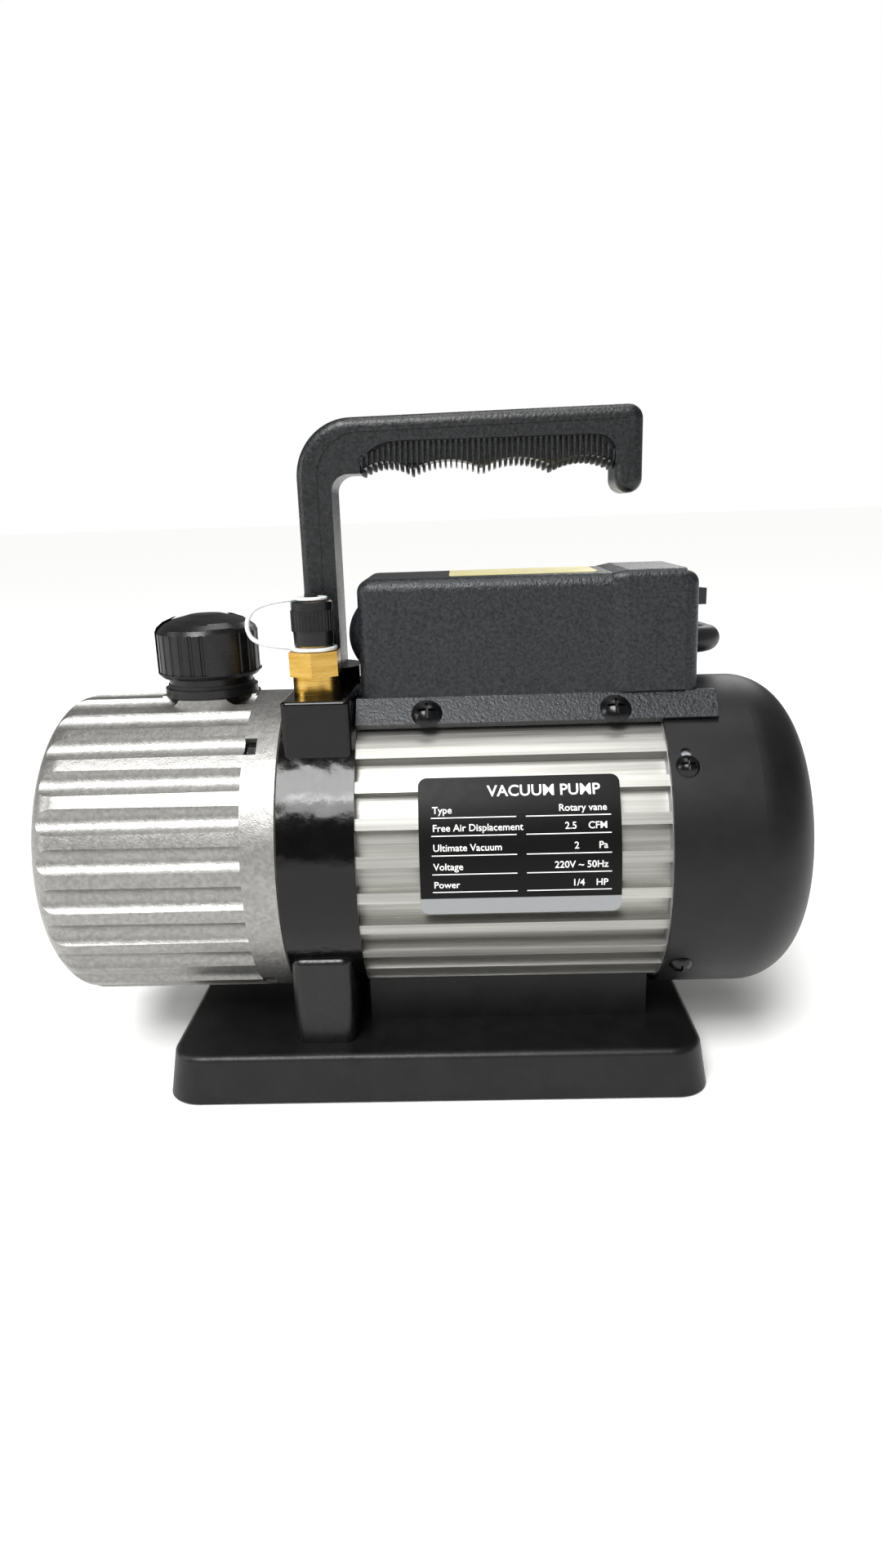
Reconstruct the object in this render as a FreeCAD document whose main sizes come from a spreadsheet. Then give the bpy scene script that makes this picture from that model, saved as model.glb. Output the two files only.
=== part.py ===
import FreeCAD, Part
import math
import os
import re
import Sketcher
from FreeCAD import Vector

# Rotary vane vacuum pump, direct driven by a fan-cooled motor, in millimetres.
# X runs along the shaft from the oil casing to the fan, Y away from the nameplate side, Z up.
# The origin is the middle of the base on the floor.

doc = FreeCAD.newDocument("VanePump")
sheet = doc.addObject("Spreadsheet::Sheet", "Sizes")

drivingSizes = {
    # base and supports
    "baseLong": 194, "baseWide": 120, "baseTall": 17, "baseDraft": 8, "baseWall": 4, "baseCorner": 12,
    "baseEdge": 2.5, "baseLift": 1, "footSpanX": 152, "footSpanY": 84, "footRadius": 8, "footTall": 4,
    "footBore": 2.5, "pedestalStart": -24.4, "pedestalLong": 102.4, "pedestalWide": 64,
    "pedestalScrewX": 70, "pedestalScrewY": 48, "baseScrewRadius": 3, "baseScrewGrip": 11,
    "bracketFootLong": 22, "bracketFootWide": 98, "bracketFootStart": -50.5, "bracketFootScrewY": 60,
    # shaft line
    "axisHeight": 81, "shaftRadius": 7.5, "runningGap": 0.05, "seatGap": 0.05,
    # pump bracket
    "bracketFront": -50.9, "bracketRear": -24.5, "bracketRadius": 57, "bracketWeb": 10, "bracketCavity": 38,
    "hubRadius": 22.5, "blockFront": 40, "blockBack": 30, "blockTop": 141, "blockStart": -49,
    "blockLong": 23.5, "bossRadius": 13, "bossTop": 147.2, "sealRadius": 15, "sealLong": 7,
    # bearings
    "bearingOuter": 17.5, "bearingLong": 11, "ballRadius": 3, "ballRing": 12.6, "ballCount": 8,
    "frontBearingAt": -36, "rearBearingAt": 69,
    # oil casing
    "gasketThick": 0.6, "casingEnd": -138.5, "casingRadius": 57, "casingWall": 4, "casingFlange": 11.8,
    "noseLong": 12, "noseDrop": 15, "fluteCount": 26, "fluteTurn": -3.5, "fluteRadius": 5.7, "fluteDepth": 2.2,
    "fluteLean": 0.007, "casingStudAngle": 51, "casingStudRing": 52.4, "casingStudRadius": 2, "casingBoss": 8.5,
    "casingBossLong": 17.8, "casingStudGrip": 9, "casingNut": 3.4, "casingNutLong": 3.2, "nutSeat": 7.3,
    "nutSlotLong": 4.5, "nutGap": 0.15, "fillerPad": 18.4, "fillerPadDeep": 12, "drainBoss": 9,
    "drainBossLong": 8,
    # oil filler and its cap
    "fillerAt": -81.4, "fillerBore": 10, "fillerTube": 12.5, "fillerFlange": 17, "fillerTop": 141.4,
    "fillerBottom": 126, "oilCapRadius": 19, "oilCapBottom": 145.4, "oilCapTop": 168.4, "oilCapCollar": 16.6,
    "oilSealThick": 1.4, "oilStemLong": 11, "oilCapGrips": 3, "oilGripTurn": -121.5, "oilGripHalf": 43.5,
    "oilGripDeep": 0.6, "oilGripLow": 1.8, "oilGripSide": 15, "oilGripArch": 7.4, "oilGrooves": 7,
    "oilGroovePitch": 12.6, "oilGrooveRadius": 0.75, "oilGrooveTop": 16.2,
    # sight glass and drain
    "glassDrop": 5, "glassRadius": 11, "glassRing": 16, "glassRingThick": 4, "lensThick": 1.5,
    "drainDrop": 32, "drainRadius": 5, "drainHead": 6.5, "drainHeadLong": 6, "drainWasher": 1.2,
    "drainStemLong": 9,
    # pump module
    "moduleRadius": 32, "plateThick": 8, "chamberLong": 30, "chamberRadius": 20, "eccentric": 2.5,
    "rotorRadius": 17.4, "endGap": 0.1, "vaneThick": 3.9, "vaneTall": 12, "vaneGap": 0.05,
    "moduleBoltRing": 26.8, "moduleBoltRadius": 2.5, "reedLong": 22, "reedWide": 9, "reedThick": 0.4, "baffleWide": 34,
    # motor
    "housingRear": 81.3, "housingBore": 47, "housingTube": 51.5, "finTip": 56, "finWide": 4,
    "finPitch": 13.1, "finFirst": 47.25, "finsPerSide": 11, "facetAngle": 56.5, "facetWide": 15,
    "facetReach": 55.4, "coreStart": 0, "coreLong": 50, "coreBore": 27, "airGap": 0.4, "windingLong": 14,
    "windingOuter": 40.5, "tieRing": 43.8, "tieRadius": 2.4, "tieGrip": 10, "bellWeb": 6, "bellRim": 11,
    # fan and its cover
    "coverRadius": 58.4, "coverWall": 1.8, "coverEnd": 133.5, "coverNoseLong": 22, "coverNoseDrop": 23,
    "coverScrewAt": 87.2, "coverScrewAngle": 38, "fanRadius": 49, "fanStart": 99, "fanLong": 18,
    "fanHub": 13, "fanBlades": 7, "shaftEnd": 118, "ventCount": 20, "ventWide": 4.4,
    # nameplate
    "plateStart": -3, "plateLong": 67.4, "plateHigh": 36.8, "plateLow": -11.4, "plateSheet": 0.6,
    # terminal box
    "boxStart": -23, "boxLong": 117.8, "boxWide": 52, "boxBottom": 139, "boxTop": 179.5, "boxDraft": 3,
    "boxWall": 2.5, "boxEdge": 5, "bandEdge": 3, "skirtOut": 7, "skirtDrop": 8, "skirtThick": 3,
    "skirtLeft": 1.5, "skirtRight": 5.5, "boxScrewFront": 0.2, "boxScrewRear": 65.4, "boxScrewRadius": 2,
    "boxScrewHead": 5.4, "labelAt": 32, "labelLong": 52, "labelWide": 30, "labelThick": 0.3,
    "stepAt": 88, "stepOut": 1, "stepRamp": 5, "domeRadius": 12.5, "domeOut": 6, "domeAtY": 3, "domeHigh": 158,
    "capacitorRadius": 14, "capacitorLong": 62, "capacitorAt": -12, "capacitorHigh": 158,
    "switchHigh": 169.2, "switchWide": 19, "switchTall": 10.6, "switchFlange": 2.4, "rockerOut": 3,
    "rockerTilt": 9, "rockerGap": 0.4,
    # handle
    "postStart": -43.8, "postWide": 12.4, "postBottom": 147.2, "gripTop": 233.8, "gripRise": 1.6,
    "gripEnd": 77.2, "gripThick": 18.9, "gripWide": 22, "gripHook": 28.2, "handleCorner": 20, "handleAtY": 4,
    "innerCorner": 6, "gripRound": 8, "scallopStart": -21, "scallopFirst": -3, "scallopPitch": 24.35,
    "scallopDepth": 2.8, "gripEdge": 3.5, "hookRadius": 4.8, "hookCorner": 5, "panelInset": 7.4,
    "panelDepth": 0.3, "panelDrop": 5, "handleBoltRadius": 4, "handleBoltGrip": 16, "ridgeRise": 1.1, "studBelow": 17,
    "combEnd": 67.6, "combTop": 225.4, "combFall": 8, "combLeft": 13, "combRight": 7, "combDeep": 2.6,
    # inlet
    "inletAtX": -39.1, "inletAtY": -19, "inletCollar": 8.2, "inletCollarTop": 147, "hexAcross": 17,
    "hexTop": 155.6, "flareRadius": 5.5, "flareTop": 170, "inletBore": 3, "inletCapRadius": 7.6,
    "inletCapBottom": 157.6, "inletCapTop": 173, "inletCapGrooves": 34, "capSealThick": 1,
    # lead
    "leadRadius": 3.6, "leadAtY": 8, "leadHigh": 151.8, "reliefTurn": 9, "reliefLong": 20,
    "reliefRadius": 4.8, "coilAtX": 42, "coilAtY": 147, "coilMiddle": 40, "coilLayers": 2,
    "coilRings": 3, "plugLong": 42, "plugRadius": 11, "pinLong": 19, "pinRadius": 2.4, "pinSpan": 13.3,
    "tieWide": 9, "tieThick": 1.2, "tetherRadius": 0.8,
}


class Size:
    """A number that remembers the expression it came from."""

    def __init__(self, value, text):
        self.value = float(value)
        self.text = text

    def joined(self, other, sign, value):
        return Size(value, "(%s %s %s)" % (self.text, sign, textOf(other)))

    def __add__(self, other):
        return self.joined(other, "+", self.value + numberOf(other))

    def __sub__(self, other):
        return self.joined(other, "-", self.value - numberOf(other))

    def __mul__(self, other):
        return self.joined(other, "*", self.value * numberOf(other))

    def __truediv__(self, other):
        return self.joined(other, "/", self.value / numberOf(other))

    def __neg__(self):
        return Size(-self.value, "(0 - %s)" % self.text)


def textOf(thing):
    return thing.text if isinstance(thing, Size) else repr(float(thing))


def numberOf(thing):
    return thing.value if isinstance(thing, Size) else float(thing)


def fillSheet():
    for row, (alias, value) in enumerate(drivingSizes.items(), start=1):
        sheet.set("A%d" % row, re.sub("([A-Z])", r" \1", alias).lower())
        sheet.set("B%d" % row, str(value))
        sheet.setAlias("B%d" % row, alias)
    doc.recompute()


def size(alias):
    return Size(sheet.get(alias), "Sizes." + alias)


def num(alias):
    return float(sheet.get(alias))


# ---------------------------------------------------------------- PartDesign helpers

def newBody(name, base=(0, 0, 0)):
    body = doc.addObject("PartDesign::Body", name)
    body.AllowCompound = True
    for axis, place in zip("xyz", base):
        if isinstance(place, Size):
            body.setExpression("Placement.Base." + axis, place.text)
        elif place:
            setattr(body.Placement.Base, axis, place)
    return body


def newSketch(body, role, offset=0):
    sketch = body.newObject("Sketcher::SketchObject", body.Name + "Sketch")
    plane = [item for item in body.Origin.OriginFeatures if item.Role == role][0]
    sketch.AttachmentSupport = [(plane, "")]
    sketch.MapMode = "FlatFace"
    if isinstance(offset, Size):
        sketch.setExpression("AttachmentOffset.Base.z", offset.text)
    return sketch


def bindPoint(sketch, line, end, place):
    for index, kind in enumerate(("DistanceX", "DistanceY")):
        target = place[index]
        if not isinstance(target, Size) and target == 0:
            sketch.addConstraint(Sketcher.Constraint("PointOnObject", line, end, -2 + index))
            continue
        number = sketch.addConstraint(Sketcher.Constraint(kind, -1, 1, line, end, numberOf(target)))
        if isinstance(target, Size):
            sketch.setExpression("Constraints[%d]" % number, target.text)


def outline(sketch, points):
    first = sketch.GeometryCount
    spots = [Vector(numberOf(along), numberOf(up), 0) for along, up in points]
    for start, end in zip(spots, spots[1:] + spots[:1]):
        sketch.addGeometry(Part.LineSegment(start, end), False)
    count = len(points)
    for step in range(count):
        following = first + (step + 1) % count
        sketch.addConstraint(Sketcher.Constraint("Coincident", first + step, 2, following, 1))
        bindPoint(sketch, first + step, 1, points[step])


def rectangle(sketch, low, high):
    outline(sketch, [(low[0], low[1]), (high[0], low[1]), (high[0], high[1]), (low[0], high[1])])


def circle(sketch, centre, radius):
    spot = Vector(numberOf(centre[0]), numberOf(centre[1]), 0)
    ring = sketch.addGeometry(Part.Circle(spot, Vector(0, 0, 1), numberOf(radius)), False)
    number = sketch.addConstraint(Sketcher.Constraint("Radius", ring, numberOf(radius)))
    if isinstance(radius, Size):
        sketch.setExpression("Constraints[%d]" % number, radius.text)
    bindPoint(sketch, ring, 3, centre)


def pad(body, sketch, length, reverse=False, taper=None):
    feature = body.newObject("PartDesign::Pad", body.Name + "Pad")
    feature.Profile = sketch
    feature.setExpression("Length", textOf(length))
    feature.Reversed = reverse
    if taper is not None:
        feature.setExpression("TaperAngle", textOf(taper))
    doc.recompute()
    return feature


def cutThrough(body, sketch):
    """Pocket right through, both ways; the volume has to drop."""
    before = body.Shape.Volume
    feature = body.newObject("PartDesign::Pocket", body.Name + "Pocket")
    feature.Profile = sketch
    feature.Type = "ThroughAll"
    feature.Midplane = True
    doc.recompute()
    if body.Shape.Volume > before - 1e-6:
        raise ValueError(body.Name + ": a cut took nothing away")
    return feature


def cutDepth(body, sketch, length, reverse=False):
    before = body.Shape.Volume
    feature = body.newObject("PartDesign::Pocket", body.Name + "Pocket")
    feature.Profile = sketch
    feature.setExpression("Length", textOf(length))
    feature.Reversed = reverse
    doc.recompute()
    if body.Shape.Volume > before - 1e-6:
        raise ValueError(body.Name + ": a cut took nothing away")
    return feature


def revolve(body, sketch, axis="H_Axis"):
    feature = body.newObject("PartDesign::Revolution", body.Name + "Turn")
    feature.Profile = sketch
    feature.ReferenceAxis = (sketch, [axis])
    feature.Angle = 360
    doc.recompute()
    return feature


def around(body, feature, count, role="X_Axis"):
    pattern = body.newObject("PartDesign::PolarPattern", body.Name + "Pattern")
    pattern.Originals = [feature]
    axis = [item for item in body.Origin.OriginFeatures if item.Role == role][0]
    pattern.Axis = (axis, [""])
    pattern.Angle = 360
    if isinstance(count, Size):
        pattern.setExpression("Occurrences", count.text)
    else:
        pattern.Occurrences = count
    body.Tip = pattern
    doc.recompute()
    return pattern


def soften(body, wanted, radius):
    """Fillet the edges of the body that the test picks."""
    tip = body.Tip
    names = ["Edge%d" % (i + 1) for i, edge in enumerate(tip.Shape.Edges) if wanted(edge)]
    if not names:
        raise ValueError(body.Name + ": no edge to round")
    feature = body.newObject("PartDesign::Fillet", body.Name + "Round")
    feature.Base = (tip, names)
    feature.setExpression("Radius", textOf(radius))
    doc.recompute()
    return feature


def turned(name, points, upright=False, base=None):
    """A turned piece: outline of (place along the axis, radius), on the shaft line or upright."""
    body = newBody(name, base or (0, 0, size("axisHeight")))
    sketch = newSketch(body, "XZ_Plane")
    if upright:
        outline(sketch, [(radius, along) for along, radius in points])
        revolve(body, sketch, "V_Axis")
    else:
        outline(sketch, points)
        revolve(body, sketch, "H_Axis")
    return body


def sleeve(name, start, end, inner, outer, upright=False, base=None):
    return turned(name, [(start, inner), (end, inner), (end, outer), (start, outer)], upright, base)


# ---------------------------------------------------------------- helpers for shapes set in code

def asFeature(name, shape):
    feature = doc.addObject("Part::Feature", name)
    feature.Shape = shape
    return feature


def rod(start, direction, radius, length):
    return Part.makeCylinder(radius, length, start, direction)


def join(shapes):
    whole = shapes[0]
    if len(shapes) > 1:
        whole = shapes[0].multiFuse(shapes[1:]).removeSplitter()
    return whole


def onAxis(along, angle, radius):
    """Point at an angle above the nameplate side, round the shaft line."""
    turn = math.radians(angle)
    return Vector(along, -radius * math.cos(turn), num("axisHeight") + radius * math.sin(turn))


def outwards(angle):
    turn = math.radians(angle)
    return Vector(0, -math.cos(turn), math.sin(turn))


def prism(points, push):
    wire = Part.makePolygon(points + points[:1])
    return Part.Face(wire).extrude(push)


def roundEdges(shape, wanted, radius):
    edges = [edge for edge in shape.Edges if wanted(edge)]
    return shape.makeFillet(radius, edges)


def isStraight(edge, direction):
    if edge.Curve.TypeId != "Part::GeomLine":
        return False
    return abs(abs(edge.Curve.Direction.dot(direction)) - 1) < 1e-6


# ---------------------------------------------------------------- base and supports

def makeBase():
    low = size("baseLift")
    body = newBody("base_plate")
    halfLong = size("baseLong") / 2
    halfWide = size("baseWide") / 2
    plan = newSketch(body, "XY_Plane", low)
    rectangle(plan, (-halfLong, -halfWide), (halfLong, halfWide))
    block = pad(body, plan, size("baseTall"))
    block.setExpression("TaperAngle", "0 - Sizes.baseDraft")
    doc.recompute()
    soften(body, lambda edge: abs(edge.tangentAt(edge.FirstParameter).z) > 0.5, size("baseCorner"))
    top = num("baseLift") + num("baseTall")
    soften(body, lambda edge: edge.BoundBox.ZMin > top - 0.01, size("baseEdge"))
    wall = size("baseWall")
    inner = newSketch(body, "XY_Plane", low)
    rectangle(inner, (wall - halfLong + 3, wall - halfWide + 3), (halfLong - wall - 3, halfWide - wall - 3))
    cutDepth(body, inner, size("baseTall") - wall, reverse=True)
    ribs = newSketch(body, "XY_Plane", low + size("baseTall") - wall)
    for side in (-1, 1):
        middle = size("bracketFootScrewY") / 2 * side + 9 * side
        rectangle(ribs, (wall - halfLong, middle - 1.5), (halfLong - wall, middle + 1.5))
    pad(body, ribs, size("baseTall") - wall - 3, reverse=True)
    bosses = newSketch(body, "XY_Plane", low + size("baseTall") - wall)
    for side in (-1, 1):
        for end in (-1, 1):
            spot = (size("footSpanX") / 2 * end, size("footSpanY") / 2 * side)
            circle(bosses, spot, size("footRadius"))
    pad(body, bosses, size("baseTall") - wall - size("footTall") + size("baseLift"), reverse=True)
    threads = newSketch(body, "XY_Plane")
    holes = newSketch(body, "XY_Plane")
    for side in (-1, 1):
        for end in (-1, 1):
            spot = (size("footSpanX") / 2 * end, size("footSpanY") / 2 * side)
            circle(threads, spot, size("footBore"))
            circle(holes, pedestalScrew(end, side), size("baseScrewRadius") + size("seatGap"))
        circle(holes, footScrew(side), size("baseScrewRadius") + size("seatGap"))
    cutDepth(body, threads, low + size("baseTall") - wall, reverse=True)
    cutThrough(body, holes)
    return body


def pedestalScrew(end, side):
    middle = size("pedestalStart") + size("pedestalLong") / 2
    return (middle + size("pedestalScrewX") / 2 * end, size("pedestalScrewY") / 2 * side)


def footScrew(side):
    return (size("bracketFootStart") + size("bracketFootLong") / 2, size("bracketFootScrewY") / 2 * side)


def makeFeet():
    body = newBody("base_feet")
    rings = newSketch(body, "XY_Plane")
    for side in (-1, 1):
        for end in (-1, 1):
            spot = (size("footSpanX") / 2 * end, size("footSpanY") / 2 * side)
            circle(rings, spot, size("footRadius"))
            circle(rings, spot, size("footBore"))
    pad(body, rings, size("footTall"))
    return body


def makePedestal():
    body = newBody("motor_pedestal")
    floor = size("baseLift") + size("baseTall")
    plan = newSketch(body, "XY_Plane", floor)
    half = size("pedestalWide") / 2
    start = size("pedestalStart")
    rectangle(plan, (start, -half), (start + size("pedestalLong"), half))
    pad(body, plan, size("axisHeight") - floor)
    saddle = newSketch(body, "YZ_Plane")
    circle(saddle, (0, size("axisHeight")), size("finTip") + size("seatGap"))
    cutThrough(body, saddle)
    holes = newSketch(body, "XY_Plane", floor)
    for side in (-1, 1):
        for end in (-1, 1):
            circle(holes, pedestalScrew(end, side), size("baseScrewRadius") + size("seatGap"))
    cutDepth(body, holes, size("baseScrewGrip") - 2, reverse=True)
    return body


def makeBracketFoot():
    body = newBody("bracket_foot")
    floor = size("baseLift") + size("baseTall")
    plan = newSketch(body, "XY_Plane", floor)
    half = size("bracketFootWide") / 2
    start = size("bracketFootStart")
    rectangle(plan, (start, -half), (start + size("bracketFootLong"), half))
    pad(body, plan, size("axisHeight") - floor - 30)
    soften(body, lambda edge: isStraight(edge, Vector(0, 0, 1)), 4)
    soften(body, lambda edge: edge.BoundBox.ZMin > num("axisHeight") - 30.01, 3)
    saddle = newSketch(body, "YZ_Plane")
    circle(saddle, (0, size("axisHeight")), size("bracketRadius") + size("seatGap"))
    cutThrough(body, saddle)
    holes = newSketch(body, "XY_Plane", floor)
    for side in (-1, 1):
        circle(holes, footScrew(side), size("baseScrewRadius") + size("seatGap"))
    cutDepth(body, holes, size("baseScrewGrip") - 2, reverse=True)
    return body


def makeBaseScrews():
    """Hexagon screws from under the base into the pedestal and the bracket foot."""
    top = num("baseLift") + num("baseTall")
    under = top - num("baseWall")
    radius = num("baseScrewRadius")
    spots = [pedestalScrew(end, side) for end in (-1, 1) for side in (-1, 1)]
    spots += [footScrew(side) for side in (-1, 1)]
    screws = []
    for along, across in spots:
        shank = rod(Vector(along.value, across.value, under), Vector(0, 0, 1), radius,
                    num("baseWall") + num("baseScrewGrip") - 3)
        screws.append(shank.fuse(hexagon(Vector(along.value, across.value, under - 4), radius * 1.65, 4)))
    return asFeature("base_screws", Part.makeCompound(screws))


def hexagon(centre, apothem, tall, direction=Vector(0, 0, 1), bevel=0.0):
    """Hexagonal prism, pointing up unless told otherwise."""
    reach = apothem / math.cos(math.radians(30))
    points = []
    for step in range(6):
        turn = math.radians(60 * step)
        points.append(Vector(reach * math.cos(turn), reach * math.sin(turn), 0))
    shape = prism(points, Vector(0, 0, tall))
    if bevel:
        cone = Part.makeCone(reach + tall - bevel, reach - bevel, tall)
        shape = shape.common(cone)
    shape.Placement = FreeCAD.Placement(centre, FreeCAD.Rotation(Vector(0, 0, 1), direction))
    return shape


# ---------------------------------------------------------------- pump bracket and pump module

def makeBracket():
    front = num("bracketFront")
    rear = num("bracketRear")
    radius = num("bracketRadius")
    axle = Vector(0, 0, num("axisHeight"))
    along = Vector(1, 0, 0)
    body = rod(axle + along * front, along, radius, rear - front)
    block = Part.makeBox(num("blockLong"), num("blockFront") + num("blockBack"),
                         num("blockTop") - num("axisHeight"),
                         Vector(num("blockStart"), -num("blockFront"), num("axisHeight")))
    block = roundEdges(block, lambda edge: isStraight(edge, Vector(0, 0, 1)), 2)
    block = roundEdges(block, lambda edge: edge.BoundBox.ZMin > num("blockTop") - 0.01, 1.2)
    boss = rod(Vector(num("postStart") + num("postWide") / 2, num("handleAtY"), num("blockTop") - 6),
               Vector(0, 0, 1), num("bossRadius"), num("bossTop") - num("blockTop") + 6)
    tidyBoss = Part.makeBox(num("blockLong"), 60, 80, Vector(num("blockStart"), -25, num("axisHeight")))
    whole = join([body, block, boss.common(tidyBoss)])
    cavityStart = front + num("bracketWeb")
    whole = whole.cut(rod(axle + along * cavityStart, along, num("bracketCavity"), rear - cavityStart + 1))
    hub = rod(axle + along * (cavityStart - 1), along, num("hubRadius"), rear - cavityStart + 0.5)
    whole = whole.fuse(hub)
    seat = num("frontBearingAt")
    whole = whole.cut(rod(axle + along * seat, along, num("bearingOuter") + num("seatGap"), 40))
    whole = whole.cut(rod(axle + along * (front - 1), along, num("sealRadius"), seat - front + 1))
    inlet = Vector(num("inletAtX"), num("inletAtY"), num("blockTop") + 1)
    whole = whole.cut(rod(inlet, Vector(0, 0, -1), num("inletBore"), 60))
    whole = whole.cut(rod(inlet, Vector(0, 0, -1), num("flareRadius") + num("seatGap"), 11))
    for angle in casingStudAngles():
        start = onAxis(front - 1, angle, num("casingStudRing"))
        whole = whole.cut(rod(start, along, num("casingStudRadius") + num("seatGap"),
                              num("casingStudGrip") + 2))
    for angle in (45, 135, 225, 315):
        start = onAxis(rear + 1, angle, num("tieRing"))
        whole = whole.cut(rod(start, -along, num("tieRadius") + num("seatGap"), num("tieGrip") + 2))
    for angle in moduleBoltAngles():
        start = onAxis(front - 1, angle, num("moduleBoltRing"))
        whole = whole.cut(rod(start, along, num("moduleBoltRadius") + num("seatGap"), 9))
    for spot in handleBoltSpots():
        whole = whole.cut(rod(Vector(spot.x, spot.y, num("bossTop") + 1), Vector(0, 0, -1),
                              num("handleBoltRadius") + num("seatGap"), num("studBelow") + 2))
    return asFeature("pump_bracket", whole.removeSplitter())


def casingStudAngles():
    lean = num("casingStudAngle")
    return (lean, -lean, 180 - lean, 180 + lean)


def moduleBoltAngles():
    return (0, 60, 120, 180, 240, 300)


def handleBoltSpots():
    middle = num("postStart") + num("postWide") / 2
    return [Vector(middle, num("handleAtY"), 0)]


def makeShaftSeal():
    front = size("bracketFront")
    return sleeve("shaft_seal", front + 0.5, front + size("sealLong"), size("shaftRadius") + size("runningGap"),
                  size("sealRadius") - 0.02)


def modulePlate(name, start):
    """Bronze end plate of the pumping chamber, with the bolt holes and the shaft bore."""
    body = newBody(name, (0, 0, size("axisHeight")))
    face = newSketch(body, "YZ_Plane", start)
    circle(face, (0, 0), size("moduleRadius"))
    circle(face, (0, 0), size("shaftRadius") + size("runningGap"))
    pad(body, face, size("plateThick"))
    drillModule(body, start)
    return body


def drillModule(body, start):
    hole = newSketch(body, "YZ_Plane", start)
    circle(hole, (size("moduleBoltRing"), 0), size("moduleBoltRadius") + size("seatGap"))
    cut = cutThrough(body, hole)
    around(body, cut, 6)


def makeStator():
    start = size("bracketFront") - size("plateThick") - size("chamberLong")
    body = newBody("pump_stator", (0, 0, size("axisHeight")))
    face = newSketch(body, "YZ_Plane", start)
    circle(face, (0, 0), size("moduleRadius"))
    circle(face, (0, -size("eccentric")), size("chamberRadius"))
    pad(body, face, size("chamberLong"))
    drillModule(body, start)
    port = newSketch(body, "XY_Plane", size("chamberRadius") / 2)
    middle = start + size("chamberLong") / 2
    rectangle(port, (middle - 4, 6), (middle + 4, 9))
    feature = body.newObject("PartDesign::Pocket", "exhaustPort")
    feature.Profile = port
    feature.Type = "ThroughAll"
    feature.Midplane = False
    feature.Reversed = True
    doc.recompute()
    flat = newSketch(body, "XZ_Plane")
    ridge = size("moduleRadius")
    rectangle(flat, (start, ridge - 4), (start + size("chamberLong"), ridge + 1))
    cutThrough(body, flat)
    return body


def reedFlatHeight():
    return num("axisHeight") + num("moduleRadius") - 4


def makeReed():
    """Thin spring steel flap over the exhaust port, and the curved stop above it."""
    middle = num("bracketFront") - num("plateThick") - num("chamberLong") / 2
    low = reedFlatHeight() + 0.05
    run = num("reedLong") - 6
    reed = Part.makeBox(num("reedWide"), run, num("reedThick"),
                        Vector(middle - num("reedWide") / 2, -3.9, low))
    asFeature("exhaust_reed", reed)
    thick = 1.2
    clamp = Part.makeBox(num("reedWide"), 6, thick + 0.5, Vector(middle - num("reedWide") / 2, -10, low))
    lift = run * math.tan(math.radians(16))
    slope = prism([Vector(0, -4, 0), Vector(0, -4 + run, lift), Vector(0, -4 + run, lift + thick),
                   Vector(0, -4, thick)], Vector(num("reedWide"), 0, 0))
    slope.translate(Vector(middle - num("reedWide") / 2, 0, low + 0.5))
    asFeature("exhaust_valve_stop", join([clamp, slope]))


def makeModuleBolts():
    length = num("plateThick") * 2 + num("chamberLong") + 7
    start = num("bracketFront") - num("plateThick") * 2 - num("chamberLong")
    bolts = []
    for angle in moduleBoltAngles():
        head = onAxis(start - 5, angle, num("moduleBoltRing"))
        bolts.append(capScrew(head, Vector(1, 0, 0), num("moduleBoltRadius"), 5, length))
    return asFeature("pump_bolts", Part.makeCompound(bolts))


def capScrew(start, direction, radius, headLong, length):
    """Socket head screw; start is the middle of the head's outer face."""
    head = rod(start, direction, radius * 1.7, headLong)
    shank = rod(start + direction * headLong, direction, radius, length)
    socket = hexagon(start - direction * 0.1, radius * 0.85, headLong * 0.6, direction)
    return head.fuse(shank).cut(socket)


def makePumpRotor():
    gap = size("endGap")
    plate = size("plateThick")
    start = size("bracketFront") - plate - size("chamberLong") + gap
    end = size("bracketFront") - plate - gap
    stub = start - gap - plate + 1
    tail = size("bracketFront") + 11.4
    body = turned("pump_rotor", [
        (stub, 0), (tail, 0), (tail, size("shaftRadius")), (end, size("shaftRadius")),
        (end, size("rotorRadius")), (start, size("rotorRadius")), (start, size("shaftRadius")),
        (stub, size("shaftRadius"))])
    slot = newSketch(body, "XY_Plane")
    half = size("vaneThick") / 2
    rectangle(slot, (start - 0.5, -size("rotorRadius") - 1), (end + 0.5, size("rotorRadius") + 1))
    feature = body.newObject("PartDesign::Pocket", "vaneSlot")
    feature.Profile = slot
    feature.Midplane = True
    feature.setExpression("Length", (half * 2 + size("vaneGap") * 2).text)
    doc.recompute()
    return body


def makeVanes():
    gap = num("endGap") * 2
    start = num("bracketFront") - num("plateThick") - num("chamberLong") + gap
    long = num("chamberLong") - gap * 2
    reach = num("rotorRadius") - 0.05
    for name, side in (("vane_a", -1), ("vane_b", 1)):
        low = min(side * reach, side * (reach - num("vaneTall")))
        vane = Part.makeBox(long, num("vaneTall"), num("vaneThick"),
                            Vector(start, low, num("axisHeight") - num("vaneThick") / 2))
        tip = rod(Vector(start, side * (reach - num("vaneThick") * 0.75), num("axisHeight")), Vector(1, 0, 0),
                  num("vaneThick") * 0.75, long)
        keep = Part.makeBox(long, num("vaneTall") - num("vaneThick") * 0.75, num("vaneThick"),
                            Vector(start, side * (reach - num("vaneTall")) if side > 0 else
                                   -(reach - num("vaneThick") * 0.75), num("axisHeight") - num("vaneThick") / 2))
        asFeature(name, vane.common(tip.fuse(keep)))


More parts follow.
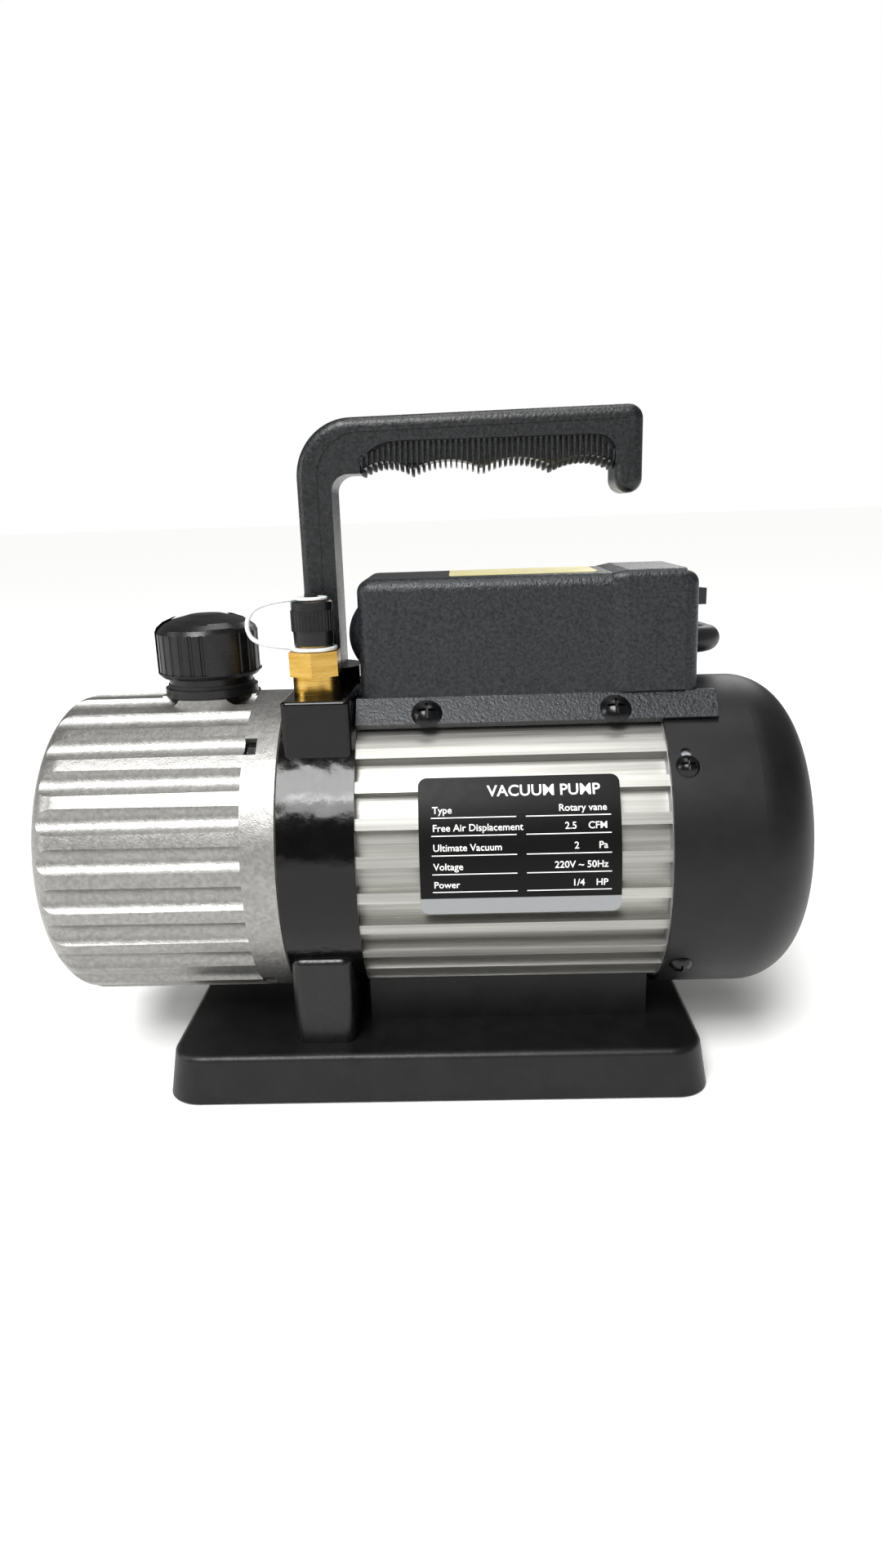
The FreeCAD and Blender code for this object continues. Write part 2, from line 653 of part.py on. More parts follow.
def makeVaneSprings():
    """Two small coil springs that push the vanes apart."""
    inner = num("rotorRadius") - 0.05 - num("vaneTall")
    wire = 0.35
    springs = []
    middle = num("bracketFront") - num("plateThick") - num("chamberLong") / 2
    for shift in (-8, 8):
        long = 2 * inner - 4 * wire
        turns = Part.makeHelix(long / 6, long, 1.4)
        section = Part.Wire([Part.makeCircle(wire, Vector(1.4, 0, 0), Vector(0, 1, 0))])
        spring = Part.Wire(turns).makePipeShell([section], True, True)
        spring.Placement = FreeCAD.Placement(Vector(middle + shift, long / 2, num("axisHeight")),
                                             FreeCAD.Rotation(Vector(1, 0, 0), 90))
        springs.append(spring)
    return asFeature("vane_springs", Part.makeCompound(springs))


# ---------------------------------------------------------------- oil casing and what is on it

def casingFront():
    return num("bracketFront") - num("gasketThick")


def domed(start, end, radius, noseLong, noseDrop):
    """Solid of revolution on the shaft line with one elliptical shoulder at its end."""
    sense = 1 if end > start else -1
    corner = end - sense * noseLong
    flat = radius - noseDrop
    height = num("axisHeight")
    points = []
    for step in range(9):
        turn = math.pi / 2 * step / 8
        points.append(Vector(corner + sense * noseLong * math.sin(turn), 0,
                             height + flat + noseDrop * math.cos(turn)))
    curve = Part.BSplineCurve()
    curve.interpolate(points, InitialTangent=Vector(sense, 0, 0), FinalTangent=Vector(0, 0, -1))
    axleStart = Vector(start, 0, height)
    axleEnd = Vector(end, 0, height)
    wire = Part.Wire([Part.makeLine(axleStart, Vector(start, 0, height + radius)),
                      Part.makeLine(Vector(start, 0, height + radius), points[0]), curve.toShape(),
                      Part.makeLine(points[-1], axleEnd), Part.makeLine(axleEnd, axleStart)])
    return Part.Face(wire).revolve(axleStart, Vector(1, 0, 0), 360)


def makeCasing():
    front = casingFront()
    end = num("casingEnd")
    radius = num("casingRadius")
    wall = num("casingWall")
    back = Vector(-1, 0, 0)
    solid = domed(front, end, radius, num("noseLong"), num("noseDrop"))
    cavity = domed(front, end + wall, radius - wall, num("noseLong"), num("noseDrop"))
    lumps = []
    holes = []
    for angle in casingStudAngles():
        lumps.append(rod(onAxis(front, angle, num("casingStudRing") - 2), back, num("casingBoss"),
                         num("casingBossLong")))
        holes.append(rod(onAxis(front + 1, angle, num("casingStudRing")), back,
                         num("casingStudRadius") + num("nutGap"), num("nutSeat") + num("nutSlotLong") + 2))
        holes.append(nutSlot(angle))
    shell = solid.cut(cavity)
    shell = shell.fuse([lump.common(solid) for lump in lumps])
    pad = rod(fillerSpot(num("axisHeight") + radius - num("fillerPadDeep")), Vector(0, 0, 1), num("fillerPad"),
              num("fillerPadDeep") + 0.4)
    shell = shell.fuse(pad.cut(cavity))
    shell = shell.cut(flutes(front - num("casingFlange"), end) + holes)
    shell = shell.cut(rod(fillerSpot(num("fillerBottom")), Vector(0, 0, 1), num("fillerTube") + num("seatGap"), 40))
    axle = Vector(end - 1, 0, num("axisHeight"))
    shell = shell.cut(rod(axle - Vector(0, 0, num("glassDrop")), Vector(1, 0, 0), num("glassRadius") - 3, 30))
    shell = shell.cut(rod(axle - Vector(0, 0, num("glassDrop")), Vector(1, 0, 0), num("glassRadius") + 0.4, 2.5))
    drainBoss = rod(Vector(end + wall - 1, 0, num("axisHeight") - num("drainDrop")), Vector(1, 0, 0),
                    num("drainBoss"), num("drainBossLong"))
    shell = shell.fuse(drainBoss)
    shell = shell.cut(rod(axle - Vector(0, 0, num("drainDrop")), Vector(1, 0, 0),
                          num("drainRadius") + num("seatGap"), 30))
    return asFeature("oil_casing", shell)


def flutes(start, end):
    """Cutters for the round flutes, squarely ended at the flange and a little deeper towards the nose."""
    cutters = []
    count = int(num("fluteCount"))
    axis = num("casingRadius") - num("fluteDepth") + num("fluteRadius")
    for step in range(count):
        angle = 360.0 / count * step + num("fluteTurn")
        along = Vector(-1, 0, 0) - outwards(angle) * num("fluteLean")
        cutters.append(rod(onAxis(start, angle, axis), along, num("fluteRadius"), start - end + 5))
    return cutters


def across(angle):
    turn = math.radians(angle)
    return Vector(0, math.sin(turn), math.cos(turn))


def nutReach():
    return num("casingNut") / math.cos(math.radians(30))


def nutSlot(angle):
    """Slot in the rim, open outwards, that holds a stud's nut and keeps it from turning."""
    half = across(angle) * (num("casingNut") + num("nutGap"))
    deep = num("casingStudRing") - nutReach() - num("nutGap")
    right = onAxis(casingFront() - num("nutSeat"), angle, deep)
    left = right - Vector(num("nutSlotLong"), 0, 0)
    return prism([right - half, right + half, left + half, left - half],
                 outwards(angle) * (num("casingRadius") - deep + 2))


def fillerSpot(height):
    return Vector(num("fillerAt"), 0, height)


def makeGasket():
    front = size("bracketFront") - size("gasketThick")
    body = newBody("casing_gasket", (0, 0, size("axisHeight")))
    face = newSketch(body, "YZ_Plane", front)
    circle(face, (0, 0), size("casingRadius") - 0.4)
    circle(face, (0, 0), size("casingStudRing") - 6)
    pad(body, face, size("gasketThick"))
    holes = newSketch(body, "YZ_Plane", front)
    for angle in casingStudAngles():
        spot = onAxis(0, angle, num("casingStudRing"))
        circle(holes, (spot.y, spot.z - num("axisHeight")), size("casingStudRadius") + 0.2)
    cutThrough(body, holes)
    return body


def makeCasingScrews():
    """Studs screwed into the bracket, each with a nut in its slot."""
    seat = casingFront() - num("nutSeat")
    studs = []
    for angle in casingStudAngles():
        centre = onAxis(seat, angle, num("casingStudRing"))
        corners = []
        for step in range(6):
            turn = math.radians(60 * step)
            corners.append(centre + (outwards(angle) * math.cos(turn) + across(angle) * math.sin(turn)) * nutReach())
        nut = prism(corners, Vector(-num("casingNutLong"), 0, 0))
        start = centre - Vector(num("casingNutLong") + 0.5, 0, 0)
        studs.append(nut.fuse(rod(start, Vector(1, 0, 0), num("casingStudRadius"),
                                  num("bracketFront") + num("casingStudGrip") - start.x)))
    return asFeature("casing_screws", Part.makeCompound(studs))


def makeFillerNeck():
    return turned("filler_neck", [
        (size("fillerBottom"), size("fillerBore")), (size("fillerTop"), size("fillerBore")),
        (size("fillerTop"), size("fillerFlange")), (size("axisHeight") + size("casingRadius") + 0.4,
                                                    size("fillerFlange")),
        (size("axisHeight") + size("casingRadius") + 0.4, size("fillerTube")),
        (size("fillerBottom"), size("fillerTube"))], True, (size("fillerAt"), 0, 0))


def makeOilCap():
    base = (size("fillerAt"), 0, 0)
    top = size("fillerTop")
    sleeve("oil_cap_seal", top, top + size("oilSealThick"), size("fillerBore"), size("fillerFlange") - 1.2,
           True, base)
    low = size("oilCapBottom")
    high = size("oilCapTop")
    outer = size("oilCapRadius")
    seat = top + size("oilSealThick")
    stem = size("fillerBore") - size("runningGap") * 4
    blank = turned("oil_cap_blank", [
        (seat - size("oilStemLong"), 0), (high, 0), (high, outer - 13), (high - 0.5, outer - 11),
        (high - 1.5, outer - 6.6), (high - 3, outer - 3), (high - 4.8, outer - 0.8), (high - 6.4, outer),
        (low + 1.5, outer), (low, outer - 1.5), (low, size("oilCapCollar") - 1.2),
        (seat, size("oilCapCollar") - 1.2), (seat, stem), (seat - size("oilStemLong"), stem)], True, base)
    shape = blank.Shape.cut(gripCutters(blank.Shape))
    doc.removeObject(blank.Name)
    return asFeature("oil_fill_cap", shape)


def gripCutters(whole):
    """Shallow arched grips round the cap, each with its row of grooves."""
    low = num("oilCapBottom") + num("oilGripLow")
    deep = num("oilGripDeep")
    radius = num("oilCapRadius")
    axle = fillerSpot(0)
    core = whole.copy()
    squash = FreeCAD.Matrix()
    share = (radius - deep) / radius
    squash.scale(share, share, 1)
    core.translate(-axle)
    core = core.transformGeometry(squash)
    core.translate(axle - Vector(0, 0, deep))
    half = radius * math.sin(math.radians(num("oilGripHalf")))
    side = low + num("oilGripSide")
    cutters = []
    for number in range(int(num("oilCapGrips"))):
        turn = math.radians(num("oilGripTurn") + 360 / num("oilCapGrips") * number)
        out = Vector(math.cos(turn), math.sin(turn), 0)
        along = Vector(-math.sin(turn), math.cos(turn), 0)
        points = [axle + along * -half + Vector(0, 0, low), axle + along * half + Vector(0, 0, low)]
        for step in range(13):
            share = math.pi * step / 12
            points.append(axle + along * (half * math.cos(share)) +
                          Vector(0, 0, side + num("oilGripArch") * math.sin(share)))
        cutters.append(prism(points, out * (radius + 2)).cut(core))
        for groove in range(int(num("oilGrooves"))):
            place = groove - (num("oilGrooves") - 1) / 2
            spin = turn + math.radians(num("oilGroovePitch") * place)
            spot = axle + Vector(math.cos(spin), math.sin(spin), 0) * (radius - deep + num("oilGrooveRadius") / 3)
            cutters.append(rod(spot + Vector(0, 0, low), Vector(0, 0, 1), num("oilGrooveRadius"),
                               num("oilGrooveTop") - num("oilGripLow")))
    return cutters


def endFace(drop):
    return (size("casingEnd"), 0, size("axisHeight") - drop)


def makeSightGlass():
    drop = size("glassDrop")
    body = newBody("sight_glass_ring", (0, 0, size("axisHeight") - drop))
    face = newSketch(body, "YZ_Plane", size("casingEnd") - size("glassRingThick"))
    circle(face, (0, 0), size("glassRing"))
    circle(face, (0, 0), size("glassRadius") - 1)
    pad(body, face, size("glassRingThick"))
    soften(body, lambda edge: edge.BoundBox.XMax < num("casingEnd") - 3.9 and edge.Curve.Radius > 12, 1.5)
    lens = newBody("sight_glass_lens", (0, 0, size("axisHeight") - drop))
    disc = newSketch(lens, "YZ_Plane", size("casingEnd"))
    circle(disc, (0, 0), size("glassRadius"))
    pad(lens, disc, size("lensThick"))
    return body


def makeDrain():
    drop = size("drainDrop")
    end = size("casingEnd")
    base = (0, 0, size("axisHeight") - drop)
    sleeve("drain_washer", end - size("drainWasher"), end, size("drainRadius") + 0.1, size("drainHead"),
           False, base)
    start = num("casingEnd") - num("drainWasher")
    axle = Vector(start, 0, num("axisHeight") - num("drainDrop"))
    shank = rod(axle, Vector(1, 0, 0), num("drainRadius") - 0.02, num("drainStemLong"))
    head = hexagon(axle, num("drainHead") - 0.9, num("drainHeadLong"), Vector(-1, 0, 0), 0.6)
    return asFeature("drain_plug", join([shank, head]))


def makeBaffle():
    """Perforated sheet over the exhaust valve that knocks the oil out of the air."""
    start = num("bracketFront") - num("plateThick") - num("chamberLong")
    height = num("axisHeight") + 41
    half = num("baffleWide") / 2
    end = num("bracketFront")
    top = Part.makeBox(end - start + 2, half * 2, 1, Vector(start - 2, -half, height))
    wing = Part.makeBox(1.2, half * 2, 8, Vector(end - 1.2, -half, height - 8 + 1))
    tray = join([top, wing])
    holes = []
    for row in range(3):
        for column in range(4):
            holes.append(rod(Vector(start + 5 + 10 * row, 8 * column - 12, height - 1), Vector(0, 0, 1), 1.6, 3))
    return asFeature("oil_baffle", tray.cut(holes))


# ---------------------------------------------------------------- motor

def finAngles():
    angles = [num("finFirst") - num("finPitch") * step for step in range(int(num("finsPerSide")))]
    return angles + [180 - angle for angle in angles]


def makeHousing():
    start = num("bracketRear")
    long = num("housingRear") - start
    axle = Vector(start, 0, num("axisHeight"))
    along = Vector(1, 0, 0)
    tube = rod(axle, along, num("housingTube"), long)
    fins = []
    wide = num("finWide")
    root = num("housingTube") - 2
    for angle in finAngles():
        fin = Part.makeBox(long, num("finTip") - root + 1, wide, Vector(0, root, -wide / 2))
        fins.append(spunTo(fin, angle, start))
    for angle in (num("facetAngle"), 180 - num("facetAngle")):
        band = Part.makeBox(long, num("facetReach") - root, num("facetWide"),
                            Vector(0, root, -num("facetWide") / 2))
        fins.append(spunTo(band, angle, start))
    skin = tube.multiFuse(fins).common(rod(axle, along, num("finTip"), long))
    shell = skin.cut(rod(axle, along, num("housingBore"), long))
    drills = []
    for head, direction in boxScrewPlaces():
        drills.append(rod(head + direction * 3, -direction, num("boxScrewRadius") + num("seatGap"), 16))
    return asFeature("motor_housing", shell.cut(drills))


def spunTo(shape, angle, start):
    """Turn a shape drawn along +Y at the shaft line to an angle above the nameplate side."""
    shape.Placement = FreeCAD.Placement(Vector(start, 0, num("axisHeight")),
                                        FreeCAD.Rotation(Vector(1, 0, 0), 180 - angle))
    return shape


def makeCore():
    start = size("coreStart")
    body = newBody("stator_core", (0, 0, size("axisHeight")))
    face = newSketch(body, "YZ_Plane", start)
    circle(face, (0, 0), size("housingBore") - 0.05)
    circle(face, (0, 0), size("coreBore"))
    pad(body, face, size("coreLong"))
    notch = newSketch(body, "YZ_Plane", start)
    for angle in (45, 135, 225, 315):
        spot = onAxis(0, angle, num("tieRing"))
        circle(notch, (spot.y, spot.z - num("axisHeight")), size("tieRadius") + 0.4)
    cutThrough(body, notch)
    slot = newSketch(body, "YZ_Plane", start)
    rectangle(slot, (-1.4, size("coreBore") - 1), (1.4, size("coreBore") + 9))
    around(body, cutThrough(body, slot), 24)
    return body


def makeWindings():
    """End turns of copper wire on both faces of the core."""
    body = newBody("stator_windings", (0, 0, size("axisHeight")))
    sketch = newSketch(body, "XZ_Plane")
    inner = size("coreBore") + 2.5
    outer = size("windingOuter")
    long = size("windingLong")
    start = size("coreStart")
    end = start + size("coreLong")
    for near, far in ((start, start - long), (end, end + long)):
        outline(sketch, [(near, inner), (near, outer), (far + (near - far) * 0.2, outer), (far, outer - 3),
                         (far, inner + 3), (far + (near - far) * 0.2, inner)])
    revolve(body, sketch)
    return body


def makeRotorCore():
    start = size("coreStart")
    end = start + size("coreLong")
    radius = size("coreBore") - size("airGap")
    ring = radius - 9
    return turned("rotor_core", [
        (start, size("shaftRadius")), (end, size("shaftRadius")), (end, ring), (end + 5, ring), (end + 5, radius - 2),
        (end, radius - 2), (end, radius), (start, radius), (start, radius - 2), (start - 5, radius - 2),
        (start - 5, ring), (start, ring)])


def couplingMiddle():
    return size("bracketFront") + 11.5


def makeShaft():
    start = couplingMiddle() + 0.1
    radius = size("shaftRadius")
    end = size("shaftEnd")
    return turned("motor_shaft", [(start, 0), (end, 0), (end, radius - 1), (end - 1, radius), (start, radius)])


def makeCoupling():
    middle = couplingMiddle()
    return sleeve("shaft_coupling", middle - 3, middle + 3, size("shaftRadius"), size("sealRadius") - 2.5)


def makeBearings():
    """Two ball bearings: outer rings sit still, inner rings and balls go round."""
    along = Vector(1, 0, 0)
    gap = num("runningGap")
    ballGap = 0.03
    still = []
    moving = []
    for start in (num("frontBearingAt"), num("rearBearingAt")):
        axle = Vector(start, 0, num("axisHeight"))
        long = num("bearingLong")
        ring = num("ballRing")
        track = Part.makeTorus(ring, num("ballRadius") + ballGap, axle + along * (long / 2), along)
        outer = rod(axle, along, num("bearingOuter"), long).cut(rod(axle, along, ring + 1.9, long))
        still.append(outer.cut(track))
        inner = rod(axle, along, ring - 1.9, long).cut(rod(axle, along, num("shaftRadius"), long))
        moving.append(inner.cut(track))
        for step in range(int(num("ballCount"))):
            spot = onAxis(start + long / 2, 360 / num("ballCount") * step, ring)
            moving.append(Part.makeSphere(num("ballRadius"), spot))
    asFeature("bearing_outer_rings", Part.makeCompound(still))
    asFeature("bearing_inner_rings", Part.makeCompound(moving))


def makeRearBell():
    height = num("axisHeight")
    along = Vector(1, 0, 0)
    rear = num("housingRear")
    spigot = num("rearBearingAt") + 2
    axle = Vector(0, 0, height)
    disc = rod(axle + along * spigot, along, num("housingBore") - 0.05, rear - spigot + 1)
    disc = disc.cut(rod(axle + along * (spigot - 1), along, num("housingBore") - 5, rear - spigot - num("bellWeb") + 1))
    hub = rod(axle + along * (num("rearBearingAt") - 1), along, num("hubRadius"), rear - num("rearBearingAt") + 4)
    rim = rod(axle + along * rear, along, num("coverRadius") - num("coverWall") - 0.1, num("bellRim"))
    rim = rim.cut(rod(axle + along * (rear + 4), along, num("housingBore") - 1, num("bellRim")))
    bell = disc.multiFuse([hub, rim])
    bell = bell.cut(rod(axle + along * num("rearBearingAt"), along, num("bearingOuter") + num("seatGap"),
                        num("bearingLong")))
    bell = bell.cut(rod(axle + along * num("rearBearingAt"), along, num("shaftRadius") + 2, 30))
    bell = bell.cut(rod(axle + along * (num("rearBearingAt") - 2), along, num("bearingOuter") - 1.5, 3))
    cuts = []
    for angle in (45, 135, 225, 315):
        cuts.append(rod(onAxis(spigot - 1, angle, num("tieRing")), along, num("tieRadius") + 0.2, 40))
        cuts.append(rod(onAxis(rear + 4, angle, num("tieRing")), along, num("tieRadius") * 1.7 + 0.3, 20))
    for step in range(6):
        cuts.append(rod(onAxis(spigot - 1, 60 * step, 32), along, 5, 30))
    for angle in coverScrewAngles():
        cuts.append(rod(onAxis(num("coverScrewAt"), angle, num("coverRadius") + 3), -outwards(angle),
                        2 + num("seatGap"), 13))
    return asFeature("rear_end_bell", bell.cut(cuts))


def coverScrewAngles():
    lean = num("coverScrewAngle")
    return (lean, 180 - lean, 180 + lean, -lean)


def makeTieRods():
    start = num("housingRear") + 4
    length = start - num("bracketRear") + num("tieGrip")
    rods = []
    for angle in (45, 135, 225, 315):
        head = onAxis(start + 4, angle, num("tieRing"))
        rods.append(capScrew(head, Vector(-1, 0, 0), num("tieRadius"), 4, length))
    return asFeature("tie_rods", Part.makeCompound(rods))


def makeFan():
    start = num("fanStart")
    long = num("fanLong")
    axle = Vector(start, 0, num("axisHeight"))
    along = Vector(1, 0, 0)
    disc = rod(axle, along, num("fanRadius") - 4, 2)
    hub = rod(axle, along, num("fanHub"), long - 3)
    blades = []
    count = int(num("fanBlades"))
    for step in range(count):
        blade = Part.makeBox(long, num("fanRadius") - num("fanHub") + 1, 1.8,
                             Vector(0, num("fanHub") - 1, -0.9))
        blades.append(spunTo(blade, 360.0 / count * step, start))
    fan = disc.multiFuse([hub] + blades).cut(rod(axle - along, along, num("shaftRadius"), long + 2))
    return asFeature("cooling_fan", fan)


def makeCover():
    start = num("housingRear") + 0.2
    solid = domed(start, num("coverEnd"), num("coverRadius"), num("coverNoseLong"), num("coverNoseDrop"))
    wall = num("coverWall")
    inside = domed(start, num("coverEnd") - wall, num("coverRadius") - wall, num("coverNoseLong"),
                   num("coverNoseDrop"))
    cover = solid.cut(inside)
    count = int(num("ventCount"))
    wide = num("ventWide")
    cuts = []
    for low, high, number in ((9, 17, count // 2), (20, 33, count)):
        for step in range(number):
            slot = Part.makeBox(wall * 3, high - low, wide, Vector(0, low, -wide / 2))
            slot = roundEdges(slot, lambda edge: isStraight(edge, Vector(1, 0, 0)), wide / 2 - 0.05)
            cuts.append(spunTo(slot, 360.0 / number * step, num("coverEnd") - wall * 2))
    for angle in coverScrewAngles():
        top = onAxis(num("coverScrewAt"), angle, num("coverRadius") + 3)
        cuts.append(rod(top, -outwards(angle), 2.3, 8))
    slotTop = onAxis(num("coverScrewAt"), num("coverScrewAngle") + 5, num("coverRadius") + 3)
    cuts.append(rod(slotTop, -outwards(num("coverScrewAngle") + 5), 1.9, 8))
    return asFeature("fan_cover", cover.cut(cuts))


def panScrew(spot, direction, radius, headRadius, headTall, length):
    """Cross-recessed pan head screw; spot is under its head, direction points out of the hole."""
    shank = rod(spot, -direction, radius, length)
    ball = (headRadius ** 2 + headTall ** 2) / (2 * headTall)
    cap = Part.makeSphere(ball, spot + direction * (headTall - ball))
    head = cap.common(rod(spot, direction, headRadius, headTall + 1))
    arm = headRadius * 0.55
    cross = Part.makeBox(arm * 2, arm * 0.36, headTall, Vector(-arm, -arm * 0.18, 0))
    cross = cross.fuse(Part.makeBox(arm * 0.36, arm * 2, headTall, Vector(-arm * 0.18, -arm, 0)))
    cross.Placement = FreeCAD.Placement(spot + direction * headTall * 0.4,
                                        FreeCAD.Rotation(Vector(0, 0, 1), direction))
    return shank.fuse(head).cut(cross)


def makeCoverScrews():
    screws = []
    for angle in coverScrewAngles():
        spot = onAxis(num("coverScrewAt"), angle, num("coverRadius") + 0.15)
        screws.append(panScrew(spot, outwards(angle), 2, 4, 2.4, 9))
    return asFeature("fan_cover_screws", Part.makeCompound(screws))


def makeNameplate():
    start = Vector(num("plateStart"), 0, num("axisHeight"))
    inner = num("finTip") + 0.05
    ring = rod(start, Vector(1, 0, 0), inner + num("plateSheet"), num("plateLong"))
    ring = ring.cut(rod(start, Vector(1, 0, 0), inner, num("plateLong")))
    points = [Vector(num("plateStart"), 0, num("axisHeight"))]
    for angle in (num("plateLow"), (num("plateLow") + num("plateHigh")) / 2, num("plateHigh")):
        points.append(onAxis(num("plateStart"), angle, inner * 1.5))
    plate = ring.common(prism(points, Vector(num("plateLong"), 0, 0)))
    corners = [edge for edge in plate.Edges
               if edge.Length < num("plateSheet") * 1.5 and abs(edge.tangentAt(edge.FirstParameter).x) < 0.1]
    return asFeature("nameplate", plate.makeFillet(3, corners))


# ---------------------------------------------------------------- terminal box

def skirtNormal(side):
    """Outward direction of the sloping screw flange on one side of the box."""
    slope = math.atan2(num("skirtOut"), num("skirtDrop"))
    return Vector(0, side * math.cos(slope), math.sin(slope))


def boxScrewPlaces():
    """Middle of each flange screw's seat and the way its head faces."""
    places = []
    half = num("boxWide") / 2
    for side in (-1, 1):
        for along in (num("boxScrewFront"), num("boxScrewRear")):
            seat = Vector(along, side * (half + num("skirtOut") * 0.62), num("boxBottom") - num("skirtDrop") * 0.62)
            places.append((seat, skirtNormal(side)))
    return places


def boxBlank(grow, low):
    """Drafted block of the box, smaller by grow all round, from a height up to the top."""
    start = num("boxStart") + grow
    end = num("boxStart") + num("boxLong") - grow
    half = num("boxWide") / 2 - grow
    lean = (num("boxTop") - num("boxBottom")) * math.tan(math.radians(num("boxDraft")))
    top = num("boxTop") - grow
    section = [Vector(start, -half, low), Vector(start, half, low), Vector(start, half, num("boxBottom")),
               Vector(start, half - lean, top), Vector(start, lean - half, top),
               Vector(start, -half, num("boxBottom"))]
    return prism(section, Vector(end - start, 0, 0))


def makeBox():
    low = num("axisHeight") + 44
    outer = boxBlank(0, low)
    outer = roundEdges(outer, lambda edge: not isStraight(edge, Vector(1, 0, 0)) and
                       edge.BoundBox.ZMin > num("boxBottom") - 0.1 and edge.BoundBox.ZLength > 5, num("boxEdge"))
    outer = roundEdges(outer, lambda edge: edge.BoundBox.ZMin > num("boxTop") - 0.01, num("boxEdge") - 0.5)
    half = num("boxWide") / 2
    past = num("skirtLeft")
    length = num("boxLong") + past + num("skirtRight")
    skirts = []
    for side in (-1, 1):
        inward = skirtNormal(side) * -num("skirtThick")
        upper = Vector(num("boxStart") - past, side * half, num("boxBottom"))
        lower = Vector(num("boxStart") - past, side * (half + num("skirtOut")), num("boxBottom") - num("skirtDrop"))
        skirts.append(prism([upper, lower, lower + inward, upper + inward + Vector(0, -side * 2, 0),
                             upper + Vector(0, -side * 3, 0)], Vector(length, 0, 0)))
    wall = num("boxWall")
    body = outer.multiFuse(skirts + [endDome(), stepBand()]).cut(boxBlank(wall, low - 5))
    along = Vector(1, 0, 0)
    rear = num("housingRear") - 0.05
    left = Vector(num("boxStart") - past - 1, 0, num("axisHeight"))
    body = body.cut(rod(left, along, num("finTip") + 0.1, rear - left.x))
    body = body.cut(rod(Vector(rear, 0, num("axisHeight")), along, num("coverRadius") + 0.4, 40))
    cuts = [rod(seat + normal * 2, -normal, num("boxScrewRadius") + 0.2, 12) for seat, normal in boxScrewPlaces()]
    right = num("boxStart") + num("boxLong")
    cuts.append(Part.makeBox(wall * 3, num("switchWide") - 3, num("switchTall") - 2.6,
                             Vector(right - wall * 2, -(num("switchWide") - 3) / 2,
                                    num("switchHigh") - num("switchTall") / 2 + 1.3)))
    cuts.append(rod(Vector(right - wall * 2, num("leadAtY"), num("leadHigh")), along, num("leadRadius") + 1.2, 20))
    return asFeature("terminal_box", body.cut(cuts))


def endDome():
    """Round bulge on the end of the box nearest the handle, over the end of the capacitor."""
    radius = num("domeRadius")
    out = num("domeOut")
    ball = (radius ** 2 + out ** 2) / (2 * out)
    start = num("boxStart")
    middle = Vector(start - out + ball, num("domeAtY"), num("domeHigh"))
    keep = rod(Vector(start - out, middle.y, middle.z), Vector(1, 0, 0), radius, out + 1)
    return Part.makeSphere(ball, middle).common(keep)


def stepBand():
    """The right part of the box stands a little proud of the rest, on its sides and its top."""
    out = num("stepOut")
    start = num("boxStart") + num("stepAt")
    length = num("boxStart") + num("boxLong") - num("boxEdge") - start
    low = num("boxBottom") + 0.5
    half = num("boxWide") / 2
    lean = (num("boxTop") - low) * math.tan(math.radians(num("boxDraft")))
    top = num("boxTop") + out
    section = [Vector(start, -half - out, low), Vector(start, half + out, low),
               Vector(start, half + out - lean, top), Vector(start, lean - half - out, top)]
    band = prism(section, Vector(length, 0, 0))
    band = roundEdges(band, lambda edge: isStraight(edge, Vector(1, 0, 0)) and edge.BoundBox.ZMin > top - 0.01,
                      num("bandEdge"))
    rim = [edge for edge in band.Edges if edge.BoundBox.XMax < start + 0.01 and edge.BoundBox.ZMax > low + 1]
    band = band.makeChamfer(num("stepRamp"), out - 0.01, rim)
    inside = prism([Vector(start - 1, -half + 5, low - 1), Vector(start - 1, half - 5, low - 1),
                    Vector(start - 1, half - lean - 5, num("boxTop") - 2),
                    Vector(start - 1, lean - half + 5, num("boxTop") - 2)], Vector(length + 2, 0, 0))
    return band.cut(inside)


def makeBoxScrews():
    screws = []
    for seat, normal in boxScrewPlaces():
        screws.append(panScrew(seat + normal * 0.05, normal, num("boxScrewRadius"), num("boxScrewHead"), 2.8, 10))
    return asFeature("terminal_box_screws", Part.makeCompound(screws))


def makeLabel():
    label = Part.makeBox(num("labelLong"), num("labelWide"), num("labelThick"),
                         Vector(num("boxStart") + num("labelAt"), -num("labelWide") / 2, num("boxTop")))
    return asFeature("box_label", roundEdges(label, lambda edge: isStraight(edge, Vector(0, 0, 1)), 2))


def makeCapacitor():
    body = newBody("run_capacitor", (0, 0, size("capacitorHigh")))
    sketch = newSketch(body, "XZ_Plane")
    start = size("capacitorAt")
    end = start + size("capacitorLong")
    radius = size("capacitorRadius")
    outline(sketch, [(start, 0), (end + 3, 0), (end + 3, radius / 3), (end, radius / 3), (end, radius),
                     (start, radius)])
    revolve(body, sketch)
    axle = Vector(num("capacitorAt") + num("capacitorLong") / 2 - 6, 0, num("capacitorHigh"))
    along = Vector(1, 0, 0)
    rise = num("boxTop") - num("boxWall") - num("capacitorHigh")
    band = rod(axle, along, num("capacitorRadius") + 1.2, 12)
    post = Part.makeBox(12, 20, rise, axle - Vector(0, 10, 0))
    clamp = band.fuse(post).cut(rod(axle - along, along, num("capacitorRadius") + 0.05, 14))
    return asFeature("capacitor_clamp", clamp)


def boxRight():
    return num("boxStart") + num("boxLong")


